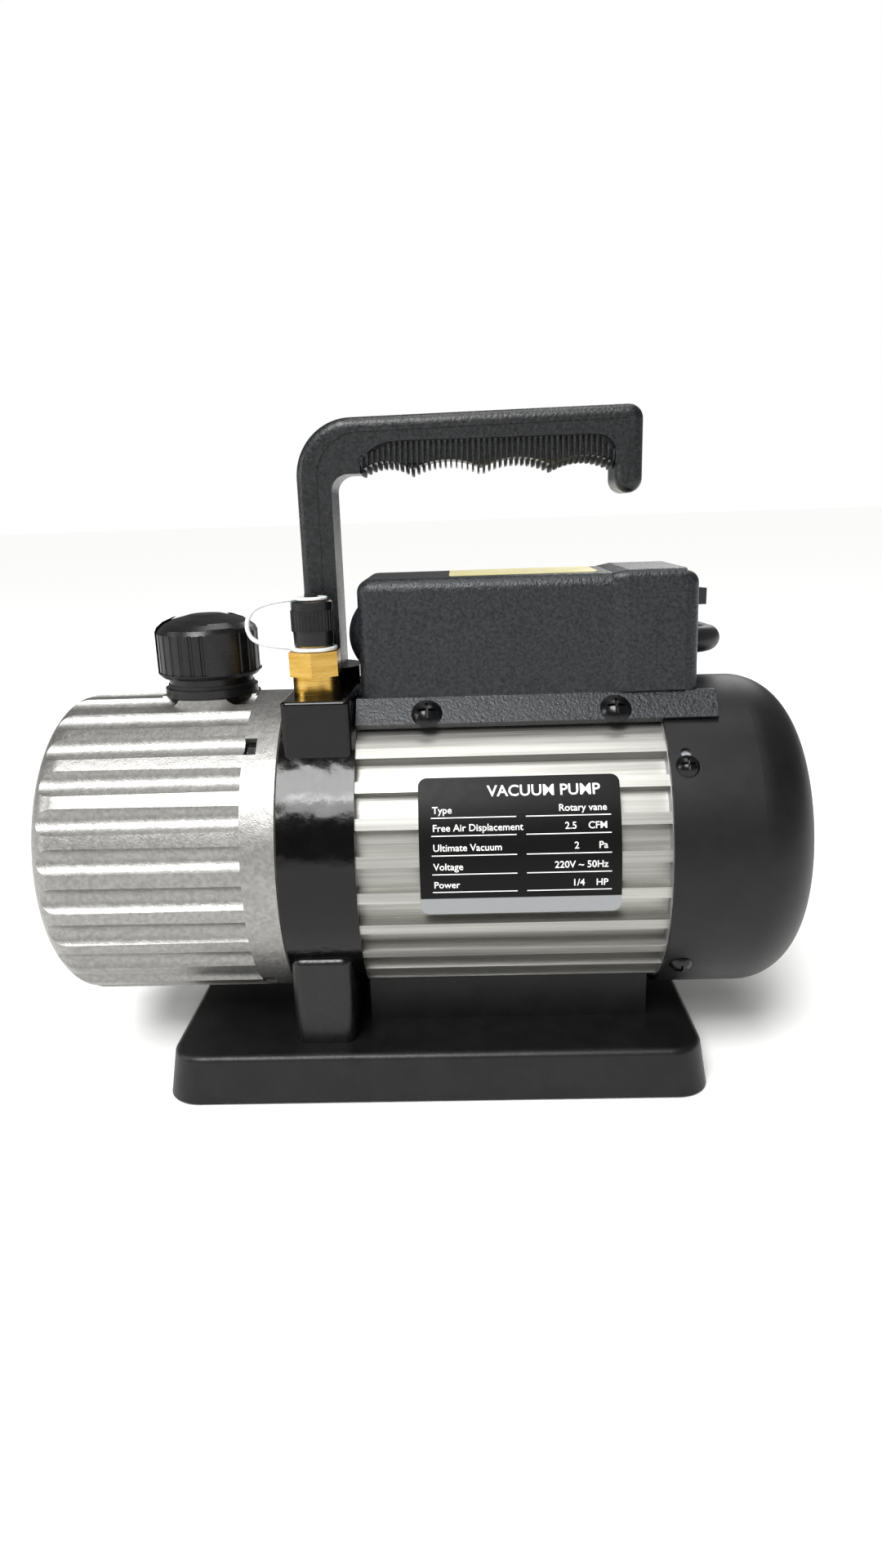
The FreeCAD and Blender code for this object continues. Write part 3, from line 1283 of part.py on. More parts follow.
def makeSwitch():
    right = boxRight()
    wide = num("switchWide")
    tall = num("switchTall")
    middle = num("switchHigh")
    flange = Part.makeBox(num("switchFlange"), wide, tall, Vector(right, -wide / 2, middle - tall / 2))
    flange = roundEdges(flange, lambda edge: isStraight(edge, Vector(1, 0, 0)), 1.5)
    housing = Part.makeBox(14, wide - 3.2, tall - 2.8, Vector(right - 14, -(wide - 3.2) / 2, middle - (tall - 2.8) / 2))
    well = Part.makeBox(12, wide - 5, tall - 4, Vector(right - 9, -(wide - 5) / 2, middle - (tall - 4) / 2))
    asFeature("switch_bezel", flange.fuse(housing).cut(well))
    gap = num("rockerGap")
    halfY = (wide - 5) / 2 - gap
    halfZ = (tall - 4) / 2 - gap
    pivot = Vector(right - 1, 0, middle)
    outer = num("switchFlange") + 1 + num("rockerOut")
    tilt = math.radians(num("rockerTilt"))
    points = [Vector(-5, -halfY + 2.5, -halfZ), Vector(-5, halfY - 2.5, -halfZ), Vector(1, halfY - 0.4, -halfZ),
              Vector(outer, halfY - 0.5, -halfZ), Vector(outer - halfY * math.tan(tilt) * 1.2, 0, -halfZ),
              Vector(outer, -halfY + 0.5, -halfZ), Vector(1, -halfY + 0.4, -halfZ)]
    rocker = prism(points, Vector(0, 0, halfZ * 2))
    rocker.rotate(Vector(0, 0, 0), Vector(0, 0, 1), num("rockerTilt"))
    rocker.translate(pivot)
    return asFeature("rocker_switch", rocker)


# ---------------------------------------------------------------- handle

def arcAbout(at, centre, radius, turns):
    """Arc round a centre in a side view, from one angle to another."""
    start, end = (math.radians(turn) for turn in turns)
    spots = [at(centre[0] + radius * math.cos(turn), centre[1] + radius * math.sin(turn))
             for turn in (start, (start + end) / 2, end)]
    return Part.Arc(*spots).toShape()


def gripEdges(at):
    """Outline of the handle's side: post, corner, rising top, hook, scallops and inner corner."""
    left = num("postStart")
    inner = left + num("postWide")
    bottom = num("postBottom")
    top = num("gripTop")
    end = num("gripEnd")
    corner = num("handleCorner")
    turn = num("hookCorner")
    hook = num("hookRadius")
    under = top - num("gripThick")
    ridge = under + num("ridgeRise")
    sweep = num("innerCorner")
    start = num("scallopStart")
    hookHigh = top - num("gripHook") + hook
    last = end - hook * 2
    slope = math.atan2(num("gripRise"), end - left)
    topStart = (left + corner - corner * math.sin(slope), top - corner + corner * math.cos(slope))
    topEnd = end - turn - turn * math.sin(slope)
    topHigh = topStart[1] + (topEnd - topStart[0]) * math.tan(slope)
    turnHigh = topHigh - turn * math.cos(slope)
    lean = math.degrees(slope)
    edges = [Part.makeLine(at(inner, bottom), at(left, bottom)),
             Part.makeLine(at(left, bottom), at(left, top - corner)),
             arcAbout(at, (left + corner, top - corner), corner, (180, 90 + lean)),
             Part.makeLine(at(*topStart), at(topEnd, topHigh)),
             arcAbout(at, (end - turn, turnHigh), turn, (90 + lean, 0)),
             Part.makeLine(at(end, turnHigh), at(end, hookHigh)),
             arcAbout(at, (end - hook, hookHigh), hook, (0, -180)),
             Part.makeLine(at(last, hookHigh), at(last, ridge))]
    ridges = [start] + [num("scallopFirst") + num("scallopPitch") * step for step in range(3)] + [last]
    for near, far in reversed(list(zip(ridges, ridges[1:]))):
        edges.append(Part.Arc(at(far, ridge), at((near + far) / 2, ridge + num("scallopDepth")),
                              at(near, ridge)).toShape())
    edges += [Part.makeLine(at(start, ridge), at(start, under)),
              Part.makeLine(at(start, under), at(inner + sweep, under)),
              arcAbout(at, (inner + sweep, under - sweep), sweep, (90, 180)),
              Part.makeLine(at(inner, under - sweep), at(inner, bottom))]
    return edges, last, ridge


def makeHandle():
    """Grip on one post: profile drawn on the nameplate side and pulled through."""
    front = num("handleAtY") - num("gripWide") / 2
    edges, last, ridge = gripEdges(lambda along, up: Vector(along, front, up))
    grip = Part.Face(Part.Wire(edges)).extrude(Vector(0, num("gripWide"), 0))
    rims = [edge for edge in grip.Edges if edge.BoundBox.YLength < 0.01 and onRim(edge.BoundBox, last)]
    grip = grip.makeFillet(num("gripEdge"), rims)
    grip = grip.cut(fingerRounds(num("scallopStart"), last, front, ridge) + sidePanels(front) + combPockets(front))
    spot = handleBoltSpots()[0]
    bottom = num("postBottom")
    grip = grip.cut(rod(Vector(spot.x, spot.y, bottom - 1), Vector(0, 0, 1),
                        num("handleBoltRadius") + num("seatGap"), num("handleBoltGrip") + 2))
    asFeature("handle", grip)
    below = num("studBelow")
    stud = rod(Vector(spot.x, spot.y, num("bossTop") - below), Vector(0, 0, 1), num("handleBoltRadius"),
               below + num("handleBoltGrip"))
    return asFeature("handle_stud", stud)


def onRim(box, last):
    """True for the outer edges of the handle's sides: post, corner, top and hook."""
    post = box.XMin < num("postStart") + 0.01 and box.ZLength > 1
    crown = box.ZMin > num("gripTop") - num("gripEdge") - 0.5
    return post or crown or box.XMax > num("gripEnd") - 0.01 or abs(box.XMin - last) < 0.01 and box.XLength < 0.01


def fingerRounds(start, end, front, ridge):
    """Cutters that round both lower edges between the ends of the scallops."""
    radius = num("gripRound")
    wide = num("gripWide")
    cutters = []
    for edgeY, inward in ((front, 1), (front + wide, -1)):
        low = min(edgeY, edgeY + inward * radius)
        corner = Part.makeBox(end - start, radius, radius + 4, Vector(start, low, ridge - 4))
        core = rod(Vector(start - 1, edgeY + inward * radius, ridge + radius), Vector(1, 0, 0), radius,
                   end - start + 2)
        cutters.append(corner.cut(core))
    return cutters


def combPockets(front):
    """Deeper recess on both sides, arched at its ends, where the finger ribs stand."""
    start = num("scallopStart") + 0.6
    end = num("combEnd")
    top = num("combTop")
    low = num("gripTop") - num("gripThick") - 4
    leftRun = num("combLeft")
    rightRun = num("combRight")
    outline = [(start, low), (start, top - num("combFall"))]
    for step in range(1, 7):
        turn = math.pi / 2 * step / 6
        outline.append((start + leftRun * (1 - math.cos(turn)), top - num("combFall") * (1 - math.sin(turn))))
    for step in range(7):
        turn = math.pi / 2 * step / 6
        outline.append((end - rightRun * (1 - math.sin(turn)), top - num("combFall") * 0.7 * (1 - math.cos(turn))))
    outline.append((end, low))
    pockets = []
    deep = num("combDeep")
    for face in (front - 1, front + num("gripWide") - deep):
        pockets.append(prism([Vector(along, face, up) for along, up in outline], Vector(0, deep + 1, 0)))
    return pockets


def sidePanels(front):
    """Shallow recess inside the rim on both sides of the handle."""
    inset = num("panelInset")
    left = num("postStart") + inset
    corner = num("handleCorner") - inset + 3
    high = num("gripTop") - num("panelDrop")
    right = num("gripEnd") - num("panelDrop")
    low = num("postBottom") - 1
    depth = num("panelDepth")
    panels = []
    for face in (front - 1, front + num("gripWide") - depth):
        def at(along, up, face=face):
            return Vector(along, face, up)

        wire = Part.Wire([
            Part.makeLine(at(left, low), at(left, high - corner)),
            arcAbout(at, (left + corner, high - corner), corner, (180, 90)),
            Part.makeLine(at(left + corner, high), at(right, high + num("gripRise"))),
            Part.makeLine(at(right, high + num("gripRise")), at(right, low)),
            Part.makeLine(at(right, low), at(left, low))])
        panels.append(Part.Face(wire).extrude(Vector(0, 1 + depth, 0)))
    return panels


# ---------------------------------------------------------------- inlet

def inletBase():
    return (size("inletAtX"), size("inletAtY"), 0)


def makeInlet():
    low = size("blockTop")
    neck = size("flareRadius")
    body = turned("inlet_fitting", [
        (low - 10, size("inletBore")), (size("flareTop"), size("inletBore")), (size("flareTop"), neck - 1.6),
        (size("flareTop") - 2.4, neck), (size("hexTop"), neck), (size("hexTop"), neck + 1),
        (size("inletCollarTop"), neck + 1), (size("inletCollarTop"), size("inletCollar")),
        (low, size("inletCollar")), (low, neck), (low - 10, neck)], True, inletBase())
    hexFace = newSketch(body, "XY_Plane", size("inletCollarTop"))
    reach = size("hexAcross") / 2 / math.cos(math.radians(30))
    corners = []
    for step in range(6):
        turn = math.radians(60 * step + 30)
        corners.append((reach * math.cos(turn), reach * math.sin(turn)))
    outline(hexFace, corners)
    circle(hexFace, (0, 0), neck)
    pad(body, hexFace, size("hexTop") - size("inletCollarTop"))
    seal = size("flareTop")
    sleeve("inlet_cap_seal", seal, seal + size("capSealThick"), 0, neck, True, inletBase())
    roof = seal + size("capSealThick")
    low = size("inletCapBottom")
    top = size("inletCapTop")
    outer = size("inletCapRadius")
    cap = turned("inlet_cap", [
        (low, neck + 0.1), (roof, neck + 0.1), (roof, 0), (top + 2.2, 0), (top + 2.2, 2.4), (top, 2.4),
        (top, outer - 0.8), (top - 0.5, outer - 0.35), (top - 3.2, outer - 0.35), (top - 3.3, outer),
        (low + 5, outer), (low + 4.9, outer - 0.5), (low, outer - 0.7)], True, inletBase())
    groove = newSketch(cap, "XY_Plane", low + 5.2)
    circle(groove, (outer + 0.2, 0), 0.5)
    cut = cutDepth(cap, groove, top - low - 8.2, reverse=True)
    around(cap, cut, size("inletCapGrooves"), "Z_Axis")
    return body


def makeTether():
    """Plastic strap: a ring on the neck, a ring on the cap's button and a bowed strap between them."""
    x = num("inletAtX")
    y = num("inletAtY")
    neck = num("hexTop") + 0.2
    crown = num("inletCapTop") + 0.2
    up = Vector(0, 0, 1)
    lower = rod(Vector(x, y, neck), up, num("flareRadius") + 2.6, 1.2)
    lower = lower.cut(rod(Vector(x, y, neck - 1), up, num("flareRadius") + 0.3, 4))
    upper = rod(Vector(x, y, crown), up, 5.6, 1.0)
    upper = upper.cut(rod(Vector(x, y, crown - 1), up, 2.7, 4))
    bow = Part.Arc(Vector(x - 7, y, neck + 1), Vector(x - 22.5, y - 1.5, (neck + crown) / 2),
                   Vector(x - 5, y, crown + 0.5)).toShape()
    start = bow.valueAt(bow.FirstParameter)
    section = Part.Wire([Part.makeCircle(num("tetherRadius"), start, bow.tangentAt(bow.FirstParameter))])
    strap = Part.Wire([bow]).makePipeShell([section], True, True)
    return asFeature("cap_tether", join([lower, upper, strap]))


# ---------------------------------------------------------------- lead, coil and plug

def filletedPath(points):
    """Straight runs joined by tangent arcs as large as the runs allow; also the arcs' radii."""
    edges = []
    radii = []
    last = points[0]
    for before, corner, after in zip(points, points[1:], points[2:]):
        back = before - corner
        on = after - corner
        half = (math.pi - back.getAngle(on)) / 2
        reach = 0.45 * min(back.Length, on.Length)
        radius = reach / math.tan(half)
        back.normalize()
        on.normalize()
        start = corner + back * reach
        end = corner + on * reach
        middle = back + on
        middle.normalize()
        centreDistance = math.hypot(radius, reach)
        top = corner + middle * (centreDistance - radius)
        edges.append(Part.makeLine(last, start))
        edges.append(Part.Arc(start, top, end).toShape())
        radii.append(radius)
        last = end
    edges.append(Part.makeLine(last, points[-1]))
    return Part.Wire(edges), radii


def tubeAlong(points, radius):
    path, radii = filletedPath(points)
    direction = points[1] - points[0]
    section = Part.Wire([Part.makeCircle(radius, points[0], direction)])
    tube = path.makePipeShell([section], True, True)
    print("tube radii", ["%.0f" % value for value in radii], "volume ratio %.4f"
          % (tube.Volume / (math.pi * radius ** 2 * path.Length)), "length %.0f" % path.Length)
    return tube


def reliefLine():
    """Corner and end of the elbowed strain relief."""
    corner = Vector(boxRight() + 3 + num("reliefTurn"), num("leadAtY"), num("leadHigh"))
    end = corner + Vector(0, num("reliefTurn") + num("reliefLong"), 0)
    return corner, end


leadRoute = [  # from the strain relief down behind the pump to the coil on the floor
    (106.8, 37, 151.8), (106.8, 58, 151.8), (106.2, 77, 141), (105.4, 88, 122), (104, 90, 95), (102, 91.5, 65),
    (99.5, 92, 36.4), (97.5, 104, 15.6), (94, 124.8, 3.6), (89.2, 147, 3.6)]


def makeLead():
    asFeature("power_cord", tubeAlong([Vector(*point) for point in leadRoute], num("leadRadius")))
    corner, end = reliefLine()
    turn = num("reliefTurn")
    radius = num("reliefRadius")
    start = corner - Vector(turn, 0, 0)
    bent = corner + Vector(0, turn, 0)
    middle = corner + Vector(-1, 1, 0) * (turn * (1 - math.sqrt(0.5)))
    arc = Part.Arc(start, middle, bent).toShape()
    elbow = Part.Wire([arc]).makePipeShell([Part.Wire([Part.makeCircle(radius, start, Vector(1, 0, 0))])], True, True)
    flange = rod(Vector(boxRight(), start.y, start.z), Vector(1, 0, 0), radius + 2.4, 2)
    stub = rod(Vector(boxRight() - num("boxWall"), start.y, start.z), Vector(1, 0, 0), radius, 3 + num("boxWall"))
    taper = Part.makeCone(radius, num("leadRadius") + 0.5, num("reliefLong"), bent, Vector(0, 1, 0))
    return asFeature("strain_relief", join([elbow, flange, stub, taper]))


def coilBand():
    half = num("coilRings") * num("leadRadius")
    return num("coilMiddle") - half, num("coilMiddle") + half, num("coilLayers") * num("leadRadius") * 2


def makeCoil():
    inner, outer, tall = coilBand()
    centre = Vector(num("coilAtX"), num("coilAtY"), 0)
    up = Vector(0, 0, 1)
    ring = rod(centre, up, outer, tall).cut(rod(centre - up, up, inner, tall + 2))
    asFeature("cord_coil", ring)
    wide = num("tieWide")
    thick = num("tieThick")
    gap = 0.2
    strap = Part.makeBox(outer - inner + 2 * (thick + gap), wide, tall + thick + gap,
                         Vector(inner - thick - gap, -wide / 2, 0))
    strap = strap.cut(Part.makeBox(outer - inner + 2 * gap, wide + 2, tall + gap + 1,
                                   Vector(inner - gap, -wide / 2 - 1, -1)))
    strap.rotate(Vector(), up, 80)
    strap.translate(centre)
    return asFeature("cord_tie", strap)


def makePlug():
    """Two-pin mains plug lying on the floor beside the coil."""
    inner, outer, tall = coilBand()
    line = num("coilMiddle") + (num("coilRings") - 1) * num("leadRadius")
    x = num("coilAtX") - line
    start = num("coilAtY") - math.sqrt(outer ** 2 - line ** 2) - 0.5
    radius = num("plugRadius")
    centre = Vector(x, start, radius)
    back = Vector(0, -1, 0)
    sleeveLong = num("plugLong") * 0.4
    neck = Part.makeCone(num("leadRadius") + 0.6, radius * 0.62, sleeveLong, centre, back)
    lead = rod(centre + back * 0.2, Vector(0, 1, 0), num("leadRadius"), 6)
    grip = Part.makeCone(radius * 0.62, radius, 6, centre + back * sleeveLong, back)
    face = rod(centre + back * (sleeveLong + 6), back, radius, num("plugLong") - sleeveLong - 6)
    pins = []
    for side in (-1, 1):
        pins.append(rod(centre + Vector(side * num("pinSpan") / 2, 0, 0) + back * num("plugLong"), back,
                        num("pinRadius"), num("pinLong")))
    return asFeature("cord_plug", join([neck, grip, face, lead] + pins))


# ---------------------------------------------------------------- build, check and write

def makeAll():
    makeBase()
    makeFeet()
    makePedestal()
    makeBracketFoot()
    makeBaseScrews()
    makeBracket()
    makeShaftSeal()
    modulePlate("pump_rear_plate", size("bracketFront") - size("plateThick"))
    makeStator()
    modulePlate("pump_front_plate", size("bracketFront") - size("plateThick") * 2 - size("chamberLong"))
    makeReed()
    makeModuleBolts()
    makePumpRotor()
    makeVanes()
    makeVaneSprings()
    makeCasing()
    makeGasket()
    makeCasingScrews()
    makeFillerNeck()
    makeOilCap()
    makeSightGlass()
    makeDrain()
    makeBaffle()
    makeHousing()
    makeCore()
    makeWindings()
    makeRotorCore()
    makeShaft()
    makeCoupling()
    makeBearings()
    makeRearBell()
    makeTieRods()
    makeFan()
    makeCover()
    makeCoverScrews()
    makeNameplate()
    makeBox()
    makeBoxScrews()
    makeLabel()
    makeCapacitor()
    makeSwitch()
    makeHandle()
    makeInlet()
    makeTether()
    makeLead()
    makeCoil()
    makePlug()


def subParts():
    return [item for item in doc.Objects if item.TypeId in ("PartDesign::Body", "Part::Feature")]


def checkAll():
    failed = [item.Name for item in doc.Objects if "Invalid" in item.State or "Error" in item.State]
    for item in subParts():
        if item.Shape.isNull() or not item.Shape.isValid() or not item.Shape.Solids:
            failed.append(item.Name)
    if failed:
        raise ValueError("failed: " + ", ".join(failed))


def writeAll():
    os.makedirs("parts", exist_ok=True)
    for item in subParts():
        item.Shape.exportStep("parts/%s.step" % item.Label)
    print(len(subParts()), "parts written")


fillSheet()
makeAll()
doc.recompute()
checkAll()
writeAll()
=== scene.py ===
import bpy
import math
from mathutils import Matrix, Vector


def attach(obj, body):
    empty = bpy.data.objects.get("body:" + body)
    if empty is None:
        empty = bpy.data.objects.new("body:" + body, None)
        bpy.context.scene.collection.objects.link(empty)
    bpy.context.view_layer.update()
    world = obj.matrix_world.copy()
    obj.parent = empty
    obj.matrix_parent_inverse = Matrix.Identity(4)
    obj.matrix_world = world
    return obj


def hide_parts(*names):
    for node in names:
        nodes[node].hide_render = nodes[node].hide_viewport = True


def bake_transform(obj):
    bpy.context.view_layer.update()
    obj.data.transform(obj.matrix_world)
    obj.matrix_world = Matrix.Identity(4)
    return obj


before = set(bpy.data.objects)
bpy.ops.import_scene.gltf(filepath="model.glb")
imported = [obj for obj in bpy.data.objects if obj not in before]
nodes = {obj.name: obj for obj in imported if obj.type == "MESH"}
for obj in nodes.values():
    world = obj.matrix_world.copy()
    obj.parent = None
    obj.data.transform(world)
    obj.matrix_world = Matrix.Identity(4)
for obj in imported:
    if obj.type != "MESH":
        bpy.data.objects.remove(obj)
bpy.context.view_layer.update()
mm = 0.001
tiny = 1e-6  # metres
mixedColour = 2  # place of the colour among a mix node's outputs


def clearSelection():
    if bpy.context.object and bpy.context.object.mode != "OBJECT":
        bpy.ops.object.mode_set(mode="OBJECT")
    bpy.ops.object.select_all(action="DESELECT")


def pickOnly(*pieces):
    clearSelection()
    for piece in pieces:
        piece.select_set(True)
    bpy.context.view_layer.objects.active = pieces[-1]


def settle(piece):  # puts the piece's place into its mesh
    pickOnly(piece)
    bpy.ops.object.transform_apply(location=True, rotation=True, scale=True)


def merged(name, pieces):
    pickOnly(*pieces)
    bpy.ops.object.join()
    whole = bpy.context.object
    whole.name = name
    whole.data.name = name
    return whole


def hexColour(text):  # sRGB hex to linear
    parts = [int(text[i:i + 2], 16) / 255 for i in (1, 3, 5)]
    return [part / 12.92 if part <= 0.04045 else ((part + 0.055) / 1.055) ** 2.4 for part in parts] + [1]


def addNode(tree, kind, settings=None, wired=None):
    node = tree.nodes.new(kind)
    for name, value in (settings or {}).items():
        setattr(node, name, value)
    sockets = {socket.identifier: socket for socket in node.inputs}
    for name, value in (wired or {}).items():
        if isinstance(value, bpy.types.NodeSocket):
            tree.links.new(value, sockets[name])
        else:
            sockets[name].default_value = value
    return node


def perMetre(sizeMm):  # texture scale for a feature of that size
    return 1000 / sizeMm


# camera

cameraPlace = {
    "x": 0.014, "y": -0.36385, "z": 0.2006,  # metres
    "turn": 0.029, "dip": 0.269, "roll": -0.0325,  # radians
    "lens": 22.5, "sensor": 36, "near": 0.01,
}


def makeCamera():
    bpy.ops.object.camera_add()
    camera = bpy.context.object
    camera.name = "studioCamera"
    camera.matrix_world = (Matrix.Translation((cameraPlace["x"], cameraPlace["y"], cameraPlace["z"]))
                           @ Matrix.Rotation(cameraPlace["turn"], 4, "Z")
                           @ Matrix.Rotation(math.pi / 2 - cameraPlace["dip"], 4, "X")
                           @ Matrix.Rotation(cameraPlace["roll"], 4, "Z"))
    camera.data.sensor_width = cameraPlace["sensor"]  # on the long side of the frame
    camera.data.lens = cameraPlace["lens"]
    camera.data.clip_start = cameraPlace["near"]
    bpy.context.scene.camera = camera


makeCamera()
print("camera placed")

# mains lead, wound into a coil behind the pump

lead = {
    "thick": 7.0 * mm,
    "route": [(0.1068, 0.037, 0.1518), (0.1068, 0.058, 0.1518), (0.1062, 0.077, 0.141),
              (0.1054, 0.088, 0.122), (0.104, 0.09, 0.095), (0.102, 0.0915, 0.065),
              (0.0995, 0.092, 0.0364), (0.0975, 0.104, 0.0156), (0.094, 0.1248, 0.0036)],
    "coilX": 0.042, "coilY": 0.147, "outer": 0.0472, "step": 0.0072, "floor": 0.0036,
    "turns": 5.5, "rings": 3, "perTurn": 16,
    "jog": 3,  # steps of a turn over which one ring moves to the next
    "widening": 0.75, "alongSteps": 6, "roundSteps": 3,
    "intoPlug": [(-0.0052, 0.137, 0.0109), (-0.0052, 0.1262, 0.011)],
}


def ringAt(turn):  # ring number, nought outside, and layer at that many turns in
    part = turn % 1
    whole = int(turn)
    share = max(0, (part - 1 + lead["jog"] / lead["perTurn"]) * lead["perTurn"] / lead["jog"])
    share = share * share * (3 - 2 * share)
    inmost = lead["rings"] - 1
    if whole < inmost:
        return whole + share, 0
    if whole == inmost:
        return inmost, share
    return 2 * inmost + 1 - whole - share, 1


def coilPoints():
    points = []
    widen = 1 / math.cos(math.pi / lead["perTurn"]) ** lead["widening"]  # the spline runs inside its points
    for number in range(int(lead["turns"] * lead["perTurn"])):
        turn = number / lead["perTurn"]
        ring, layer = ringAt(turn)
        radius = (lead["outer"] - lead["step"] * ring) * widen
        angle = 2 * math.pi * turn
        points.append((lead["coilX"] + radius * math.cos(angle),
                       lead["coilY"] + radius * math.sin(angle),
                       lead["floor"] + lead["step"] * layer))
    return points


def makeLead():
    points = lead["route"] + coilPoints() + lead["intoPlug"]
    curve = bpy.data.curves.new("mainsLead", "CURVE")
    curve.dimensions = "3D"
    spline = curve.splines.new("NURBS")
    spline.points.add(len(points) - 1)
    for point, place in zip(spline.points, points):
        point.co = (*place, 1)
        point.radius = lead["thick"] / 2
    spline.order_u = 3
    spline.use_endpoint_u = True
    spline.resolution_u = lead["alongSteps"]
    curve.bevel_depth = 1  # the points' own radius sets the thickness
    curve.bevel_resolution = lead["roundSteps"]
    curve.use_fill_caps = True
    piece = bpy.data.objects.new("mainsLead", curve)
    bpy.context.scene.collection.objects.link(piece)
    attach(piece, "pump")
    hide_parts("power_cord", "cord_coil")
    return piece


leadPiece = makeLead()
print("lead laid")

# finishes


texture = {
    "toneAndGlintDetail": 3, "toneAndGlintLow": 0.35, "toneAndGlintHigh": 0.65,
    "grainDetail": 2, "grainRoughness": 0.6, "glossLow": 0.3, "glossHigh": 0.7, "rippleDetail": 1,
}


def makeFinish(name, looks):  # one shader with cloudy colour, cloudy gloss and two sizes of relief; on some finishes the cloudy colour is a fine speckle of painted sparkle highlights
    material = bpy.data.materials.new(name)
    material.use_nodes = True
    tree = material.node_tree
    shader = tree.nodes["Principled BSDF"]
    for socket, value in looks.get("even", {}).items():
        shader.inputs[socket].default_value = value
    place = addNode(tree, "ShaderNodeTexCoord")
    stretched = addNode(tree, "ShaderNodeMapping", wired={
        "Vector": place.outputs["Object"], "Scale": looks.get("stretch", (1, 1, 1))})
    # two-tone colour noise: random tone on most finishes, painted sparkle highlights on the ABS box and the
    # handle
    tonesAndGlints = addNode(tree, "ShaderNodeTexNoise", wired={
        "Vector": stretched.outputs["Vector"], "Scale": perMetre(looks["toneAndGlintMm"]),
        "Detail": texture["toneAndGlintDetail"]})
    spread = addNode(tree, "ShaderNodeMapRange", wired={
        "Value": tonesAndGlints.outputs["Fac"], "From Min": texture["toneAndGlintLow"], "From Max": texture["toneAndGlintHigh"]})
    colour = addNode(tree, "ShaderNodeMix", {"data_type": "RGBA"}, {
        "Factor_Float": spread.outputs["Result"], "A_Color": hexColour(looks["colours"][0]),
        "B_Color": hexColour(looks["colours"][1])})
    grain = addNode(tree, "ShaderNodeTexNoise", wired={
        "Vector": stretched.outputs["Vector"], "Scale": perMetre(looks["grainMm"]),
        "Detail": looks.get("detail", texture["grainDetail"]), "Roughness": texture["grainRoughness"]})
    gloss = addNode(tree, "ShaderNodeMapRange", wired={
        "Value": grain.outputs["Fac"], "From Min": texture["glossLow"], "From Max": texture["glossHigh"],
        "To Min": looks["rough"][0], "To Max": looks["rough"][1]})
    low = addNode(tree, "ShaderNodeTexNoise", wired={
        "Vector": place.outputs["Object"], "Scale": perMetre(looks["rippleMm"]),
        "Detail": texture["rippleDetail"]})
    ripple = addNode(tree, "ShaderNodeBump", wired={
        "Height": low.outputs["Fac"], "Distance": looks["rippleDeepMm"] * mm, "Strength": 1})
    relief = addNode(tree, "ShaderNodeBump", wired={
        "Height": grain.outputs["Fac"], "Distance": looks["grainDeepMm"] * mm, "Strength": 1,
        "Normal": ripple.outputs["Normal"]})
    tree.links.new(colour.outputs[mixedColour], shader.inputs["Base Color"])
    tree.links.new(gloss.outputs["Result"], shader.inputs["Roughness"])
    tree.links.new(relief.outputs["Normal"], shader.inputs["Normal"])
    return material


